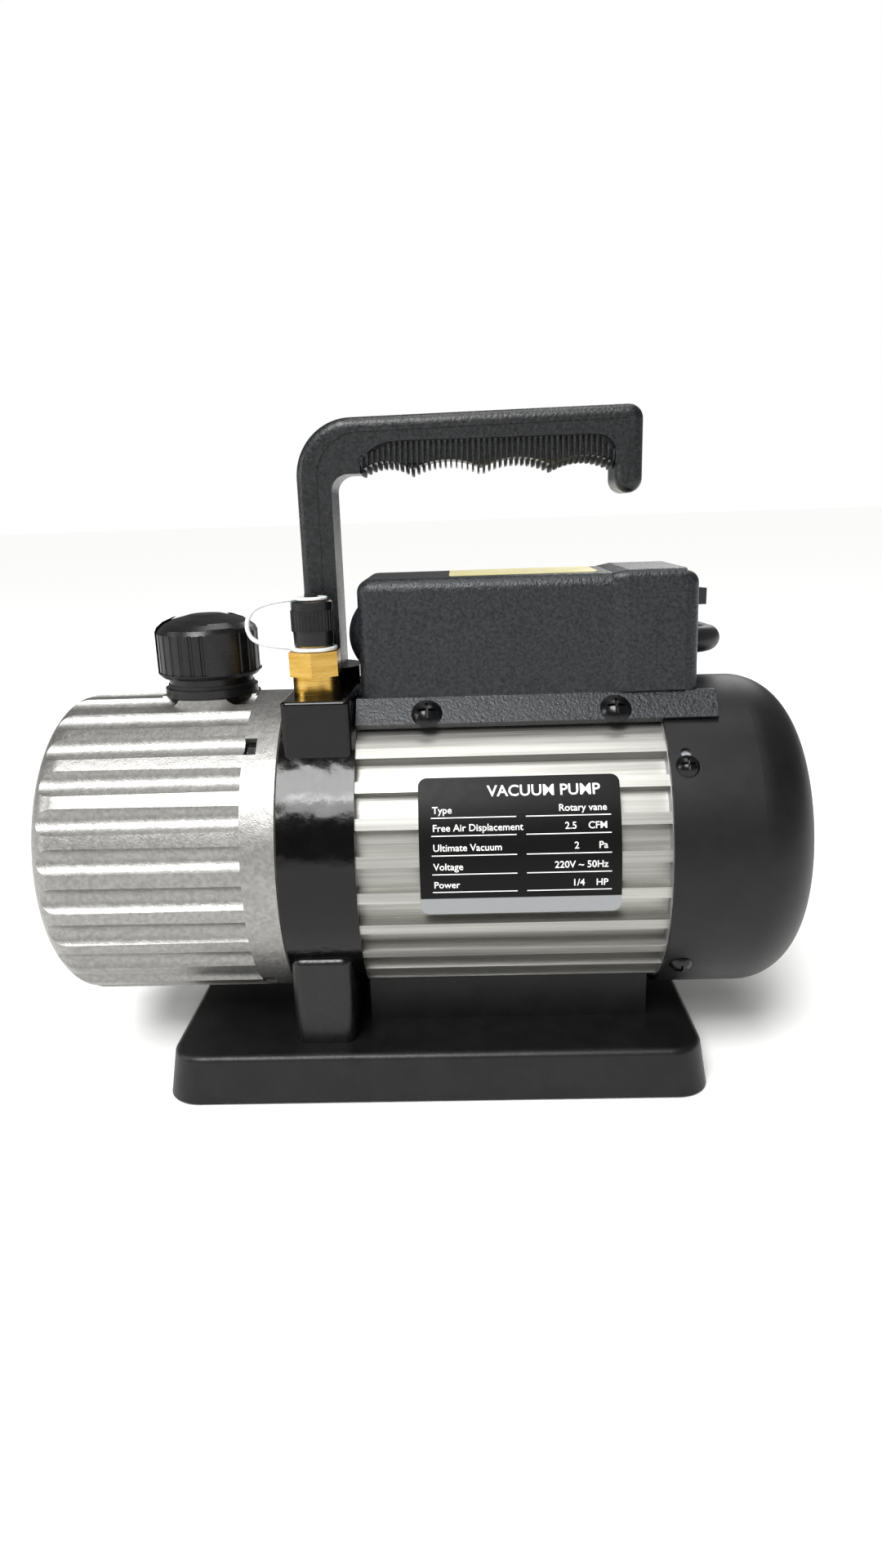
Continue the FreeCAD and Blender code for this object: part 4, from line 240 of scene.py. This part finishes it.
finishes = {
    # silver paint on a sand casting: soft sheen, sparkling grain, slightly uneven grey
    "castingSilverPaint": {"colours": ("#8A8987", "#9C9B98"), "rough": (0.36, 0.52), "grainMm": 0.7,
                           "grainDeepMm": 0.09, "rippleMm": 7, "rippleDeepMm": 0.25, "toneAndGlintMm": 1.6,
                           "even": {"Metallic": 0.9}},
    # extruded aluminium, left bare: fine die lines along its length, bright satin
    "extrudedAluminium": {"colours": ("#A09F9B", "#B3B2AD"), "rough": (0.42, 0.56), "grainMm": 0.5,
                          "grainDeepMm": 0.02, "rippleMm": 20, "rippleDeepMm": 0.1, "toneAndGlintMm": 1.2,
                          "stretch": (0.012, 1, 1), "even": {"Metallic": 1}},
    # gloss black enamel brushed on a casting: deep black with orange peel
    "enamelGlossBlack": {"colours": ("#030303", "#060607"), "rough": (0.1, 0.17), "grainMm": 2.2,
                         "grainDeepMm": 0.035, "rippleMm": 9, "rippleDeepMm": 0.3, "toneAndGlintMm": 8,
                         "even": {"Specular IOR Level": 0.3}},
    # satin black paint on a pressing
    "satinBlackPaint": {"colours": ("#070708", "#0D0D0E"), "rough": (0.26, 0.38), "grainMm": 0.8,
                        "grainDeepMm": 0.03, "rippleMm": 8, "rippleDeepMm": 0.1, "toneAndGlintMm": 6,
                        "even": {"Specular IOR Level": 0.4}},
    # ABS moulded in a spark-eroded tool: charcoal black, its coarse even sparkle painted in as a fine speckle
    # of lighter colour, a painted highlight
    "absCoarseBlack": {"colours": ("#121315", "#24262A"), "rough": (0.26, 0.44), "grainMm": 1.1,
                       "grainDeepMm": 0.3, "rippleMm": 14, "rippleDeepMm": 0.1, "toneAndGlintMm": 1.1, "detail": 3,
                       "even": {"Specular IOR Level": 0.4}},
    # polypropylene handle with a leathery grain; its fine two-tone colour speckle is painted sparkle
    # highlights on the grain
    "leatherGrainPlastic": {"colours": ("#0B0C0D", "#202123"), "rough": (0.26, 0.42), "grainMm": 1.1,
                            "grainDeepMm": 0.22, "rippleMm": 10, "rippleDeepMm": 0.1, "toneAndGlintMm": 1.3,
                            "detail": 3, "even": {"Specular IOR Level": 0.4}},
    # matt black powder coat on pressed steel: velvety, very fine pebble
    "powderCoatBlack": {"colours": ("#0A0A0B", "#101011"), "rough": (0.4, 0.5), "grainMm": 0.45,
                        "grainDeepMm": 0.03, "rippleMm": 16, "rippleDeepMm": 0.1, "toneAndGlintMm": 10,
                        "even": {"Specular IOR Level": 0.3}},
    # matt black base moulding with a fine grain
    "mattBasePlastic": {"colours": ("#0A0A0B", "#111112"), "rough": (0.36, 0.48), "grainMm": 0.55,
                        "grainDeepMm": 0.04, "rippleMm": 18, "rippleDeepMm": 0.15, "toneAndGlintMm": 9,
                        "even": {"Specular IOR Level": 0.32}},
    # satin black moulding of the caps
    "satinCapPlastic": {"colours": ("#0A0A0B", "#111112"), "rough": (0.26, 0.38), "grainMm": 0.6,
                        "grainDeepMm": 0.03, "rippleMm": 8, "rippleDeepMm": 0.05, "toneAndGlintMm": 5,
                        "even": {"Specular IOR Level": 0.4}},
    # turned brass, lightly dulled
    "turnedBrass": {"colours": ("#B8903F", "#D6B062"), "rough": (0.2, 0.34), "grainMm": 0.35,
                    "grainDeepMm": 0.012, "rippleMm": 6, "rippleDeepMm": 0.03, "toneAndGlintMm": 2.5,
                    "stretch": (0.1, 0.1, 1), "even": {"Metallic": 1}},
    # machined steel, oiled
    "machinedSteel": {"colours": ("#7C7E82", "#9A9CA0"), "rough": (0.22, 0.38), "grainMm": 0.5,
                      "grainDeepMm": 0.01, "rippleMm": 10, "rippleDeepMm": 0.03, "toneAndGlintMm": 4,
                      "even": {"Metallic": 1}},
    # black oxide screws with a trace of oil
    "blackOxideSteel": {"colours": ("#0B0B0C", "#151516"), "rough": (0.16, 0.3), "grainMm": 0.7,
                        "grainDeepMm": 0.015, "rippleMm": 5, "rippleDeepMm": 0.04, "toneAndGlintMm": 2,
                        "even": {"Metallic": 0.4}},
    # ground grey iron
    "groundIron": {"colours": ("#5B5C5E", "#737476"), "rough": (0.35, 0.5), "grainMm": 0.6,
                   "grainDeepMm": 0.02, "rippleMm": 8, "rippleDeepMm": 0.05, "toneAndGlintMm": 4,
                   "even": {"Metallic": 0.9}},
    # as-cast aluminium, shot blasted
    "blastedAluminium": {"colours": ("#8F9093", "#A8A9AC"), "rough": (0.42, 0.58), "grainMm": 0.5,
                         "grainDeepMm": 0.06, "rippleMm": 9, "rippleDeepMm": 0.1, "toneAndGlintMm": 5,
                         "even": {"Metallic": 0.9}},
    # polished chrome ring
    "chromedRing": {"colours": ("#D6D8DC", "#E6E8EC"), "rough": (0.05, 0.12), "grainMm": 1.5,
                    "grainDeepMm": 0.004, "rippleMm": 8, "rippleDeepMm": 0.02, "toneAndGlintMm": 6,
                    "even": {"Metallic": 1}},
    # nitrile rubber seals and feet: dull black
    "nitrileRubber": {"colours": ("#101011", "#1B1B1C"), "rough": (0.55, 0.72), "grainMm": 0.6,
                      "grainDeepMm": 0.04, "rippleMm": 6, "rippleDeepMm": 0.06, "toneAndGlintMm": 4},
    # rubber-sheathed lead, slightly glossy from handling
    "leadSheath": {"colours": ("#121213", "#1A1A1B"), "rough": (0.38, 0.5), "grainMm": 0.8,
                   "grainDeepMm": 0.02, "rippleMm": 5, "rippleDeepMm": 0.06, "toneAndGlintMm": 6},
    # gloss black switch moulding
    "glossSwitchPlastic": {"colours": ("#0C0C0D", "#121213"), "rough": (0.12, 0.2), "grainMm": 1.2,
                           "grainDeepMm": 0.006, "rippleMm": 8, "rippleDeepMm": 0.03, "toneAndGlintMm": 5},
    # white soft polyethylene strap
    "whitePolyethylene": {"colours": ("#DADADA", "#F0F0F0"), "rough": (0.32, 0.45), "grainMm": 0.8,
                          "grainDeepMm": 0.01, "rippleMm": 4, "rippleDeepMm": 0.04, "toneAndGlintMm": 4,
                          "even": {"Subsurface Weight": 0.1}},
    # pale yellow paper label under a dull film
    "filmedPaper": {"colours": ("#D9CF96", "#E6DDAA"), "rough": (0.3, 0.42), "grainMm": 0.4,
                    "grainDeepMm": 0.01, "rippleMm": 12, "rippleDeepMm": 0.06, "toneAndGlintMm": 7},
    # compressed fibre gasket
    "gasketFibre": {"colours": ("#26231F", "#37332D"), "rough": (0.7, 0.85), "grainMm": 0.4,
                    "grainDeepMm": 0.04, "rippleMm": 5, "rippleDeepMm": 0.03, "toneAndGlintMm": 2},
    # varnished copper windings
    "varnishedCopper": {"colours": ("#8A4420", "#B4622F"), "rough": (0.2, 0.35), "grainMm": 0.6,
                        "grainDeepMm": 0.1, "rippleMm": 6, "rippleDeepMm": 0.1, "toneAndGlintMm": 2,
                        "stretch": (1, 0.2, 0.2), "even": {"Metallic": 0.7}},
    # phenolic fibre vanes
    "phenolicFibre": {"colours": ("#4A2E1C", "#5E3C25"), "rough": (0.4, 0.55), "grainMm": 0.5,
                      "grainDeepMm": 0.02, "rippleMm": 5, "rippleDeepMm": 0.02, "toneAndGlintMm": 1.5},
    # capacitor can in off-white plastic
    "creamPlastic": {"colours": ("#C9C8C2", "#D8D7D1"), "rough": (0.35, 0.48), "grainMm": 0.6,
                     "grainDeepMm": 0.02, "rippleMm": 9, "rippleDeepMm": 0.05, "toneAndGlintMm": 6},
    # white enamel lettering
    "whiteInk": {"colours": ("#E4E4E2", "#F2F2F0"), "rough": (0.35, 0.45), "grainMm": 0.5,
                 "grainDeepMm": 0.004, "rippleMm": 6, "rippleDeepMm": 0.01, "toneAndGlintMm": 3},
}
made = {name: makeFinish(name, looks) for name, looks in finishes.items()}


def makeFoil():  # anodised foil printed gloss black, bare silver along its foot
    foil = {"black": "#060607", "silver": "#98999B", "stripTop": 0.0757, "blend": 0.00015,
            "grainMm": 3, "dentMm": 0.02, "rough": (0.34, 0.46), "specular": 0.15}
    material = bpy.data.materials.new("printedFoil")
    material.use_nodes = True
    tree = material.node_tree
    shader = tree.nodes["Principled BSDF"]
    place = addNode(tree, "ShaderNodeTexCoord")
    axes = addNode(tree, "ShaderNodeSeparateXYZ", wired={"Vector": place.outputs["Object"]})
    strip = addNode(tree, "ShaderNodeMapRange", wired={
        "Value": axes.outputs["Z"], "From Min": foil["stripTop"] - foil["blend"],
        "From Max": foil["stripTop"] + foil["blend"], "To Min": 1, "To Max": 0})
    colour = addNode(tree, "ShaderNodeMix", {"data_type": "RGBA"}, {
        "Factor_Float": strip.outputs["Result"], "A_Color": hexColour(foil["black"]),
        "B_Color": hexColour(foil["silver"])})
    grain = addNode(tree, "ShaderNodeTexNoise", wired={
        "Vector": place.outputs["Object"], "Scale": perMetre(foil["grainMm"])})
    gloss = addNode(tree, "ShaderNodeMapRange", wired={
        "Value": grain.outputs["Fac"], "To Min": foil["rough"][0], "To Max": foil["rough"][1]})
    shader.inputs["Specular IOR Level"].default_value = foil["specular"]
    dents = addNode(tree, "ShaderNodeBump", wired={
        "Height": grain.outputs["Fac"], "Distance": foil["dentMm"] * mm, "Strength": 1})
    tree.links.new(colour.outputs[mixedColour], shader.inputs["Base Color"])
    tree.links.new(strip.outputs["Result"], shader.inputs["Metallic"])
    tree.links.new(gloss.outputs["Result"], shader.inputs["Roughness"])
    tree.links.new(dents.outputs["Normal"], shader.inputs["Normal"])
    return material


def makeLensGlass():  # clear acrylic lens over pale oil
    lens = {"tint": "#E9E2B8", "ior": 1.49, "clear": 0.85, "smearMm": 4, "rough": (0.02, 0.12)}
    material = bpy.data.materials.new("clearAcrylic")
    material.use_nodes = True
    tree = material.node_tree
    shader = tree.nodes["Principled BSDF"]
    shader.inputs["Base Color"].default_value = hexColour(lens["tint"])
    shader.inputs["IOR"].default_value = lens["ior"]
    shader.inputs["Transmission Weight"].default_value = lens["clear"]
    place = addNode(tree, "ShaderNodeTexCoord")
    smear = addNode(tree, "ShaderNodeTexNoise", wired={
        "Vector": place.outputs["Object"], "Scale": perMetre(lens["smearMm"])})
    gloss = addNode(tree, "ShaderNodeMapRange", wired={
        "Value": smear.outputs["Fac"], "To Min": lens["rough"][0], "To Max": lens["rough"][1]})
    tree.links.new(gloss.outputs["Result"], shader.inputs["Roughness"])
    return material


def makeOilAndPaintedShade():  # pale mineral oil up to its level, painted shade of the unlit casing inside above it
    oil = {"oil": "#C9A24A", "air": "#2B2A26", "level": 0.0765, "blend": 0.0002,
           "smearMm": 3, "rough": (0.08, 0.25)}
    material = bpy.data.materials.new("oilAndPaintedShade")
    material.use_nodes = True
    tree = material.node_tree
    shader = tree.nodes["Principled BSDF"]
    place = addNode(tree, "ShaderNodeTexCoord")
    axes = addNode(tree, "ShaderNodeSeparateXYZ", wired={"Vector": place.outputs["Object"]})
    under = addNode(tree, "ShaderNodeMapRange", wired={
        "Value": axes.outputs["Z"], "From Min": oil["level"] - oil["blend"],
        "From Max": oil["level"] + oil["blend"], "To Min": 1, "To Max": 0})
    # the dark colour above the oil level is painted shade, standing for the unlit inside of the casing
    colour = addNode(tree, "ShaderNodeMix", {"data_type": "RGBA"}, {
        "Factor_Float": under.outputs["Result"], "A_Color": hexColour(oil["air"]),
        "B_Color": hexColour(oil["oil"])})
    film = addNode(tree, "ShaderNodeTexNoise", wired={
        "Vector": place.outputs["Object"], "Scale": perMetre(oil["smearMm"])})
    gloss = addNode(tree, "ShaderNodeMapRange", wired={
        "Value": film.outputs["Fac"], "To Min": oil["rough"][0], "To Max": oil["rough"][1]})
    tree.links.new(colour.outputs[mixedColour], shader.inputs["Base Color"])
    tree.links.new(gloss.outputs["Result"], shader.inputs["Roughness"])
    return material


made["printedFoil"] = makeFoil()
made["oilAndPaintedShade"] = makeOilAndPaintedShade()
made["clearAcrylic"] = makeLensGlass()

wearers = {  # finish: the CAD nodes that wear it
    "castingSilverPaint": ["oil_casing"],
    "extrudedAluminium": ["motor_housing"],
    "enamelGlossBlack": ["pump_bracket"],
    "satinBlackPaint": ["bracket_foot"],
    "absCoarseBlack": ["terminal_box"],
    "leatherGrainPlastic": ["handle"],
    "powderCoatBlack": ["fan_cover"],
    "mattBasePlastic": ["base_plate", "motor_pedestal"],
    "satinCapPlastic": ["oil_fill_cap", "filler_neck", "inlet_cap", "cooling_fan"],
    "turnedBrass": ["inlet_fitting", "drain_plug"],
    "machinedSteel": ["oil_baffle", "pump_rotor", "vane_springs", "exhaust_reed", "exhaust_valve_stop",
                      "shaft_coupling", "motor_shaft", "stator_core", "tie_rods", "capacitor_clamp",
                      "handle_stud", "base_screws", "bearing_outer_rings", "bearing_inner_rings"],
    "blackOxideSteel": ["casing_screws", "pump_bolts", "fan_cover_screws", "terminal_box_screws"],
    "groundIron": ["pump_rear_plate", "pump_front_plate", "pump_stator", "rotor_core"],
    "blastedAluminium": ["rear_end_bell"],
    "chromedRing": ["sight_glass_ring"],
    "nitrileRubber": ["base_feet", "oil_cap_seal", "inlet_cap_seal", "drain_washer", "shaft_seal",
                      "cord_tie"],
    "leadSheath": ["strain_relief", "cord_plug"],
    "glossSwitchPlastic": ["switch_bezel", "rocker_switch"],
    "whitePolyethylene": ["cap_tether"],
    "filmedPaper": ["box_label"],
    "gasketFibre": ["casing_gasket"],
    "varnishedCopper": ["stator_windings"],
    "phenolicFibre": ["vane_a", "vane_b"],
    "creamPlastic": ["run_capacitor"],
    "printedFoil": ["nameplate"],
    "clearAcrylic": ["sight_glass_lens"],
}
for finish, names in wearers.items():
    for name in names:
        nodes[name].data.materials.clear()
        nodes[name].data.materials.append(made[finish])
covered = {name for names in wearers.values() for name in names} | {"power_cord", "cord_coil"}
bare = sorted(set(nodes) - covered)
print("finishes on", len(nodes) - len(bare), "nodes, none on", bare)
leadPiece.data.materials.append(made["leadSheath"])


def wear(piece, finish, body):
    piece.data.materials.clear()
    piece.data.materials.append(made[finish])
    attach(piece, body)


# finger ribs under the grip

ribs = {"count": 46, "start": -20.4, "end": 67.0, "thick": 0.95, "front": -6.95, "back": 14.95,
        "top": 225.2, "leftTop": 217.4, "rightTop": 220.0, "leftRun": 13, "rightRun": 7,
        "ridges": (-21, -3, 21.35, 45.7, 67.6), "ridge": 216.0, "hollow": 2.8, "proud": 2.4, "round": 6.5,
        "tipShare": 0.6, "tall": 9, "topShare": 0.45, "roundSteps": 5}


def rootHigh(x):  # underside of the grip at that place
    for near, far in zip(ribs["ridges"], ribs["ridges"][1:]):
        if near <= x <= far:
            share = 2 * (x - near) / (far - near) - 1
            return ribs["ridge"] + ribs["hollow"] * (1 - share * share)
    return ribs["ridge"]


def ribTop(x):
    left = min(1, (x - ribs["start"]) / ribs["leftRun"])
    right = min(1, (ribs["end"] - x) / ribs["rightRun"])
    low = ribs["leftTop"] + (ribs["top"] - ribs["leftTop"]) * math.sin(left * math.pi / 2)
    return min(low, ribs["rightTop"] + (ribs["top"] - ribs["rightTop"]) * math.sin(right * math.pi / 2))


def makeRibs():
    tall = ribs["tall"]
    deep = ribs["back"] - ribs["front"]
    middleY = (ribs["front"] + ribs["back"]) / 2
    clearSelection()
    bpy.ops.mesh.primitive_cube_add(size=1, location=(0, middleY * mm, 0))
    model = bpy.context.object
    model.scale = (ribs["thick"] * mm, deep * mm, tall * mm)
    settle(model)
    bpy.ops.object.mode_set(mode="EDIT")
    bpy.ops.mesh.select_mode(type="EDGE")
    bpy.ops.mesh.select_all(action="DESELECT")
    bpy.ops.object.mode_set(mode="OBJECT")
    for edge in model.data.edges:
        ends = [model.data.vertices[number].co for number in edge.vertices]
        edge.select = all(end.z < 0 for end in ends) and abs(ends[0].y - ends[1].y) < tiny
    bpy.ops.object.mode_set(mode="EDIT")
    bpy.ops.mesh.bevel(offset=ribs["round"] * mm, segments=ribs["roundSteps"], affect="EDGES")
    bpy.ops.mesh.select_all(action="DESELECT")
    bpy.ops.object.mode_set(mode="OBJECT")
    for vertex in model.data.vertices:
        if vertex.co.z < 0:
            vertex.co.x *= ribs["tipShare"]
    copies = []
    for number in range(ribs["count"]):
        x = ribs["start"] + (ribs["end"] - ribs["start"]) * number / (ribs["count"] - 1)
        copy = model.copy()
        copy.data = model.data.copy()
        bpy.context.scene.collection.objects.link(copy)
        low = rootHigh(x) - ribs["proud"]
        for vertex in copy.data.vertices:
            atTop = vertex.co.z >= tall * mm * ribs["topShare"]
            base = ribTop(x) - tall / 2 if atTop else low + tall / 2
            vertex.co.z += base * mm
            vertex.co.x += x * mm
        copies.append(copy)
    bpy.data.objects.remove(model)
    whole = merged("gripRibs", copies)
    wear(whole, "leatherGrainPlastic", "pump")


makeRibs()
print("grip ribs made")

# lettering of the nameplate, laid flat and then rolled round the motor

plate = {
    "left": -3, "axisHigh": 81, "lowAngle": -11.4, "radius": 56.65, "proud": 0.05, "thick": 0.06,
    "title": {"text": "VACUUM PUMP", "x": 42.0, "up": 40.7, "tall": 5.4, "bold": 0.07},
    "rows": [("Type", "Rotary vane", 35.2), ("Free Air Displacement", "2.5    CFM", 29.2),
             ("Ultimate Vacuum", "2       Pa", 22.6), ("Voltage", "220V ~ 50Hz", 16.2),
             ("Power", "1/4    HP", 9.9)],
    "rowTall": 3.3, "rowBold": 0.03, "namesAt": 4.6, "figuresAt": 62.8, "letterSteps": 3,
    "nameLine": (4.2, 32.6), "figureLine": (35.8, 64.0), "lineDrop": 1.5, "lineThick": 0.32, "lineEdge": 0.02,
}


def letter(text, x, up, tall, align, bold):
    clearSelection()
    bpy.ops.object.text_add(location=(x * mm, up * mm, 0))
    words = bpy.context.object
    words.data.body = text
    words.data.size = tall * mm
    words.data.align_x = align
    words.data.offset = bold * mm
    words.data.extrude = plate["thick"] / 2 * mm
    words.data.resolution_u = plate["letterSteps"]
    pickOnly(words)
    bpy.ops.object.convert(target="MESH")
    words = bpy.context.object
    settle(words)
    return words


def rule(start, end, up):
    clearSelection()
    bpy.ops.mesh.primitive_cube_add(size=1, location=((start + end) / 2 * mm, up * mm, 0))
    line = bpy.context.object
    line.scale = ((end - start) * mm, plate["lineThick"] * mm, plate["thick"] * mm)
    settle(line)
    bpy.ops.object.mode_set(mode="EDIT")
    bpy.ops.mesh.select_all(action="SELECT")
    bpy.ops.mesh.bevel(offset=plate["lineEdge"] * mm, segments=1, affect="EDGES")
    bpy.ops.object.mode_set(mode="OBJECT")
    return line


def rollOnPlate(piece):
    for vertex in piece.data.vertices:
        angle = math.radians(plate["lowAngle"]) + vertex.co.y / (plate["radius"] * mm)
        reach = plate["radius"] * mm + plate["proud"] * mm + vertex.co.z
        vertex.co = Vector((vertex.co.x + plate["left"] * mm, -reach * math.cos(angle),
                            plate["axisHigh"] * mm + reach * math.sin(angle)))


def makeLettering():
    title = plate["title"]
    pieces = [letter(title["text"], title["x"], title["up"], title["tall"], "CENTER", title["bold"])]
    for name, figure, up in plate["rows"]:
        pieces.append(letter(name, plate["namesAt"], up, plate["rowTall"], "LEFT", plate["rowBold"]))
        pieces.append(letter(figure, plate["figuresAt"], up, plate["rowTall"], "RIGHT", plate["rowBold"]))
        pieces.append(rule(*plate["nameLine"], up - plate["lineDrop"]))
        pieces.append(rule(*plate["figureLine"], up - plate["lineDrop"]))
    whole = merged("plateLettering", pieces)
    rollOnPlate(whole)
    wear(whole, "whiteInk", "pump")


makeLettering()
print("nameplate lettered")

# oil seen through the sight glass with painted shade above it, and its two level marks

gauge = {
    "x": -136.3, "high": 76, "radius": 7.9, "thick": 0.5, "edge": 0.15, "sides": 48,
    "markX": -136.75, "markLong": 7, "markTall": 0.7, "markThick": 0.3, "marks": (72, 80),
    "markEdge": 0.1, "markEdgeSteps": 2,
}


def makeOilDisc():
    clearSelection()
    bpy.ops.mesh.primitive_cylinder_add(
        vertices=gauge["sides"], radius=gauge["radius"] * mm, depth=gauge["thick"] * mm,
        location=(gauge["x"] * mm, 0, gauge["high"] * mm), rotation=(0, math.pi / 2, 0))
    disc = bpy.context.object
    disc.name = "oilAndShadeBehindGlass"
    bpy.ops.object.mode_set(mode="EDIT")
    bpy.ops.mesh.select_mode(type="FACE")
    bpy.ops.mesh.select_all(action="DESELECT")
    bpy.ops.object.mode_set(mode="OBJECT")
    for face in disc.data.polygons:
        face.select = len(face.vertices) > 4  # the two round ends
    bpy.ops.object.mode_set(mode="EDIT")
    bpy.ops.mesh.inset(thickness=gauge["edge"] * mm)
    bpy.ops.object.mode_set(mode="OBJECT")
    settle(disc)
    return disc


def makeGauge():
    wear(makeOilDisc(), "oilAndPaintedShade", "pump")
    marks = []
    for high in gauge["marks"]:
        clearSelection()
        bpy.ops.mesh.primitive_cube_add(size=1, location=(gauge["markX"] * mm, 0, high * mm))
        mark = bpy.context.object
        mark.scale = (gauge["markThick"] * mm, gauge["markLong"] * mm, gauge["markTall"] * mm)
        settle(mark)
        bpy.ops.object.mode_set(mode="EDIT")
        bpy.ops.mesh.select_all(action="SELECT")
        bpy.ops.mesh.bevel(offset=gauge["markEdge"] * mm, segments=gauge["markEdgeSteps"], affect="EDGES")
        bpy.ops.object.mode_set(mode="OBJECT")
        marks.append(mark)
    wear(merged("levelMarks", marks), "satinCapPlastic", "pump")


makeGauge()
print("oil gauge made")

# strap that holds the inlet cap to its neck

strap = {
    "x": -39.1, "y": -19,
    "bow": ((-6.8, 0, 156.6), (-20, -0.8, 157.4), (-24, -1.6, 165), (-19, -0.8, 173), (-4.8, 0, 173.6)),
    "bowThick": 1.6, "bowSteps": 4,
    "lowRing": (155.8, 5.8, 8.1, 1.2),  # foot height, bore, outside and thickness
    "highRing": (173.2, 2.7, 5.6, 1.0),
    "edge": 0.25, "edgeSteps": 3, "turns": 56, "weld": 0.01, "smoothAngle": 40,
    "bendFrom": 158, "bendTo": 172.5,
}


def ringAbout(foot, bore, outside, thick):  # flat ring spun from its bevelled section
    clearSelection()
    bpy.ops.mesh.primitive_plane_add(size=1, rotation=(math.pi / 2, 0, 0), location=(
        (strap["x"] + (bore + outside) / 2) * mm, strap["y"] * mm, (foot + thick / 2) * mm))
    ring = bpy.context.object
    ring.scale = ((outside - bore) * mm, thick * mm, 1)
    settle(ring)
    bpy.ops.object.mode_set(mode="EDIT")
    bpy.ops.mesh.select_all(action="SELECT")
    bpy.ops.mesh.bevel(offset=strap["edge"] * mm, segments=strap["edgeSteps"], affect="VERTICES")
    bpy.ops.mesh.select_all(action="SELECT")
    bpy.ops.mesh.delete(type="ONLY_FACE")
    bpy.ops.mesh.select_all(action="SELECT")
    bpy.ops.mesh.spin(steps=strap["turns"], angle=2 * math.pi, use_auto_merge=True,
                      axis=(0, 0, 1), center=(strap["x"] * mm, strap["y"] * mm, 0))
    bpy.ops.mesh.select_all(action="SELECT")
    bpy.ops.mesh.remove_doubles(threshold=strap["weld"] * mm)
    bpy.ops.mesh.normals_make_consistent(inside=False)
    bpy.ops.object.mode_set(mode="OBJECT")
    return ring


def makeStrap():  # its lower ring sits round the neck, its upper ring round the cap
    curve = bpy.data.curves.new("strapBow", "CURVE")
    curve.dimensions = "3D"
    spline = curve.splines.new("NURBS")
    spline.points.add(len(strap["bow"]) - 1)
    for point, (x, y, high) in zip(spline.points, strap["bow"]):
        point.co = ((strap["x"] + x) * mm, (strap["y"] + y) * mm, high * mm, 1)
    spline.order_u = 3
    spline.use_endpoint_u = True
    curve.bevel_depth = strap["bowThick"] / 2 * mm
    curve.bevel_resolution = strap["bowSteps"]
    curve.use_fill_caps = True
    bow = bpy.data.objects.new("strapBow", curve)
    bpy.context.scene.collection.objects.link(bow)
    pickOnly(bow)
    bpy.ops.object.convert(target="MESH")
    bow = bpy.context.object
    piece = merged("capStrap", [bow, ringAbout(*strap["lowRing"]), ringAbout(*strap["highRing"])])
    piece.data.materials.clear()
    piece.data.materials.append(made["whitePolyethylene"])
    settle(piece)
    bpy.ops.object.shade_smooth_by_angle(angle=math.radians(strap["smoothAngle"]))
    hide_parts("cap_tether")
    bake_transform(piece)


makeStrap()
print("cap strap made")

# floor and light

studio = {
    "floor": 60.0, "floorColour": "#F8F8F7", "floorRough": 0.95, "floorShine": 0.05,
    "backColour": "#FFFFFF", "roomColour": "#F2F2F0", "roomLight": 0.2,
    "sunFrom": (-0.35, -0.75, 1.1), "sunLight": 3.45, "sunSoft": 28,  # degrees
}
panels = [  # name, place, aimed at, size, watts
    ("keyPanel", (-0.15, -1.15, 1.0), (-0.02, 0, 0.1), 0.4, 6),
    ("sidePanel", (-1.3, -0.35, 0.55), (-0.05, 0, 0.1), 0.5, 5),
    ("topPanel", (0.1, 0.15, 1.3), (0, 0, 0.1), 0.6, 5),
    ("rearPanel", (0.5, 1.3, 0.8), (0, 0, 0.12), 0.6, 4),
]


def makeStudio():
    clearSelection()
    bpy.ops.mesh.primitive_plane_add(size=studio["floor"])
    floor = bpy.context.object
    floor.name = "studioFloor"
    material = bpy.data.materials.new("paleFloor")
    material.use_nodes = True
    shader = material.node_tree.nodes["Principled BSDF"]
    shader.inputs["Base Color"].default_value = hexColour(studio["floorColour"])
    shader.inputs["Roughness"].default_value = studio["floorRough"]
    shader.inputs["Specular IOR Level"].default_value = studio["floorShine"]
    floor.data.materials.append(material)
    world = bpy.data.worlds.new("studioRoom")  # a white backdrop in a dimmer room
    world.use_nodes = True
    tree = world.node_tree
    room = tree.nodes["Background"]
    room.inputs["Color"].default_value = hexColour(studio["roomColour"])
    room.inputs["Strength"].default_value = studio["roomLight"]
    backdrop = addNode(tree, "ShaderNodeBackground", wired={"Color": hexColour(studio["backColour"])})
    seen = addNode(tree, "ShaderNodeLightPath")
    either = addNode(tree, "ShaderNodeMixShader")
    tree.links.new(seen.outputs["Is Camera Ray"], either.inputs[0])
    tree.links.new(room.outputs[0], either.inputs[1])
    tree.links.new(backdrop.outputs[0], either.inputs[2])
    tree.links.new(either.outputs[0], tree.nodes["World Output"].inputs["Surface"])
    bpy.context.scene.world = world
    bpy.ops.object.light_add(type="SUN", location=studio["sunFrom"])
    sun = bpy.context.object
    sun.name = "ceilingLight"
    sun.rotation_euler = Vector(studio["sunFrom"]).to_track_quat("Z", "Y").to_euler()
    sun.data.energy = studio["sunLight"]
    sun.data.angle = math.radians(studio["sunSoft"])
    for name, place, aim, size, power in panels:
        bpy.ops.object.light_add(type="AREA", location=place)
        lamp = bpy.context.object
        lamp.name = name
        lamp.rotation_euler = (Vector(place) - Vector(aim)).to_track_quat("Z", "Y").to_euler()
        lamp.data.size = size
        lamp.data.energy = power
    bpy.context.scene.view_settings.view_transform = "Standard"


makeStudio()
print("studio lit")

bpy.context.view_layer.update()
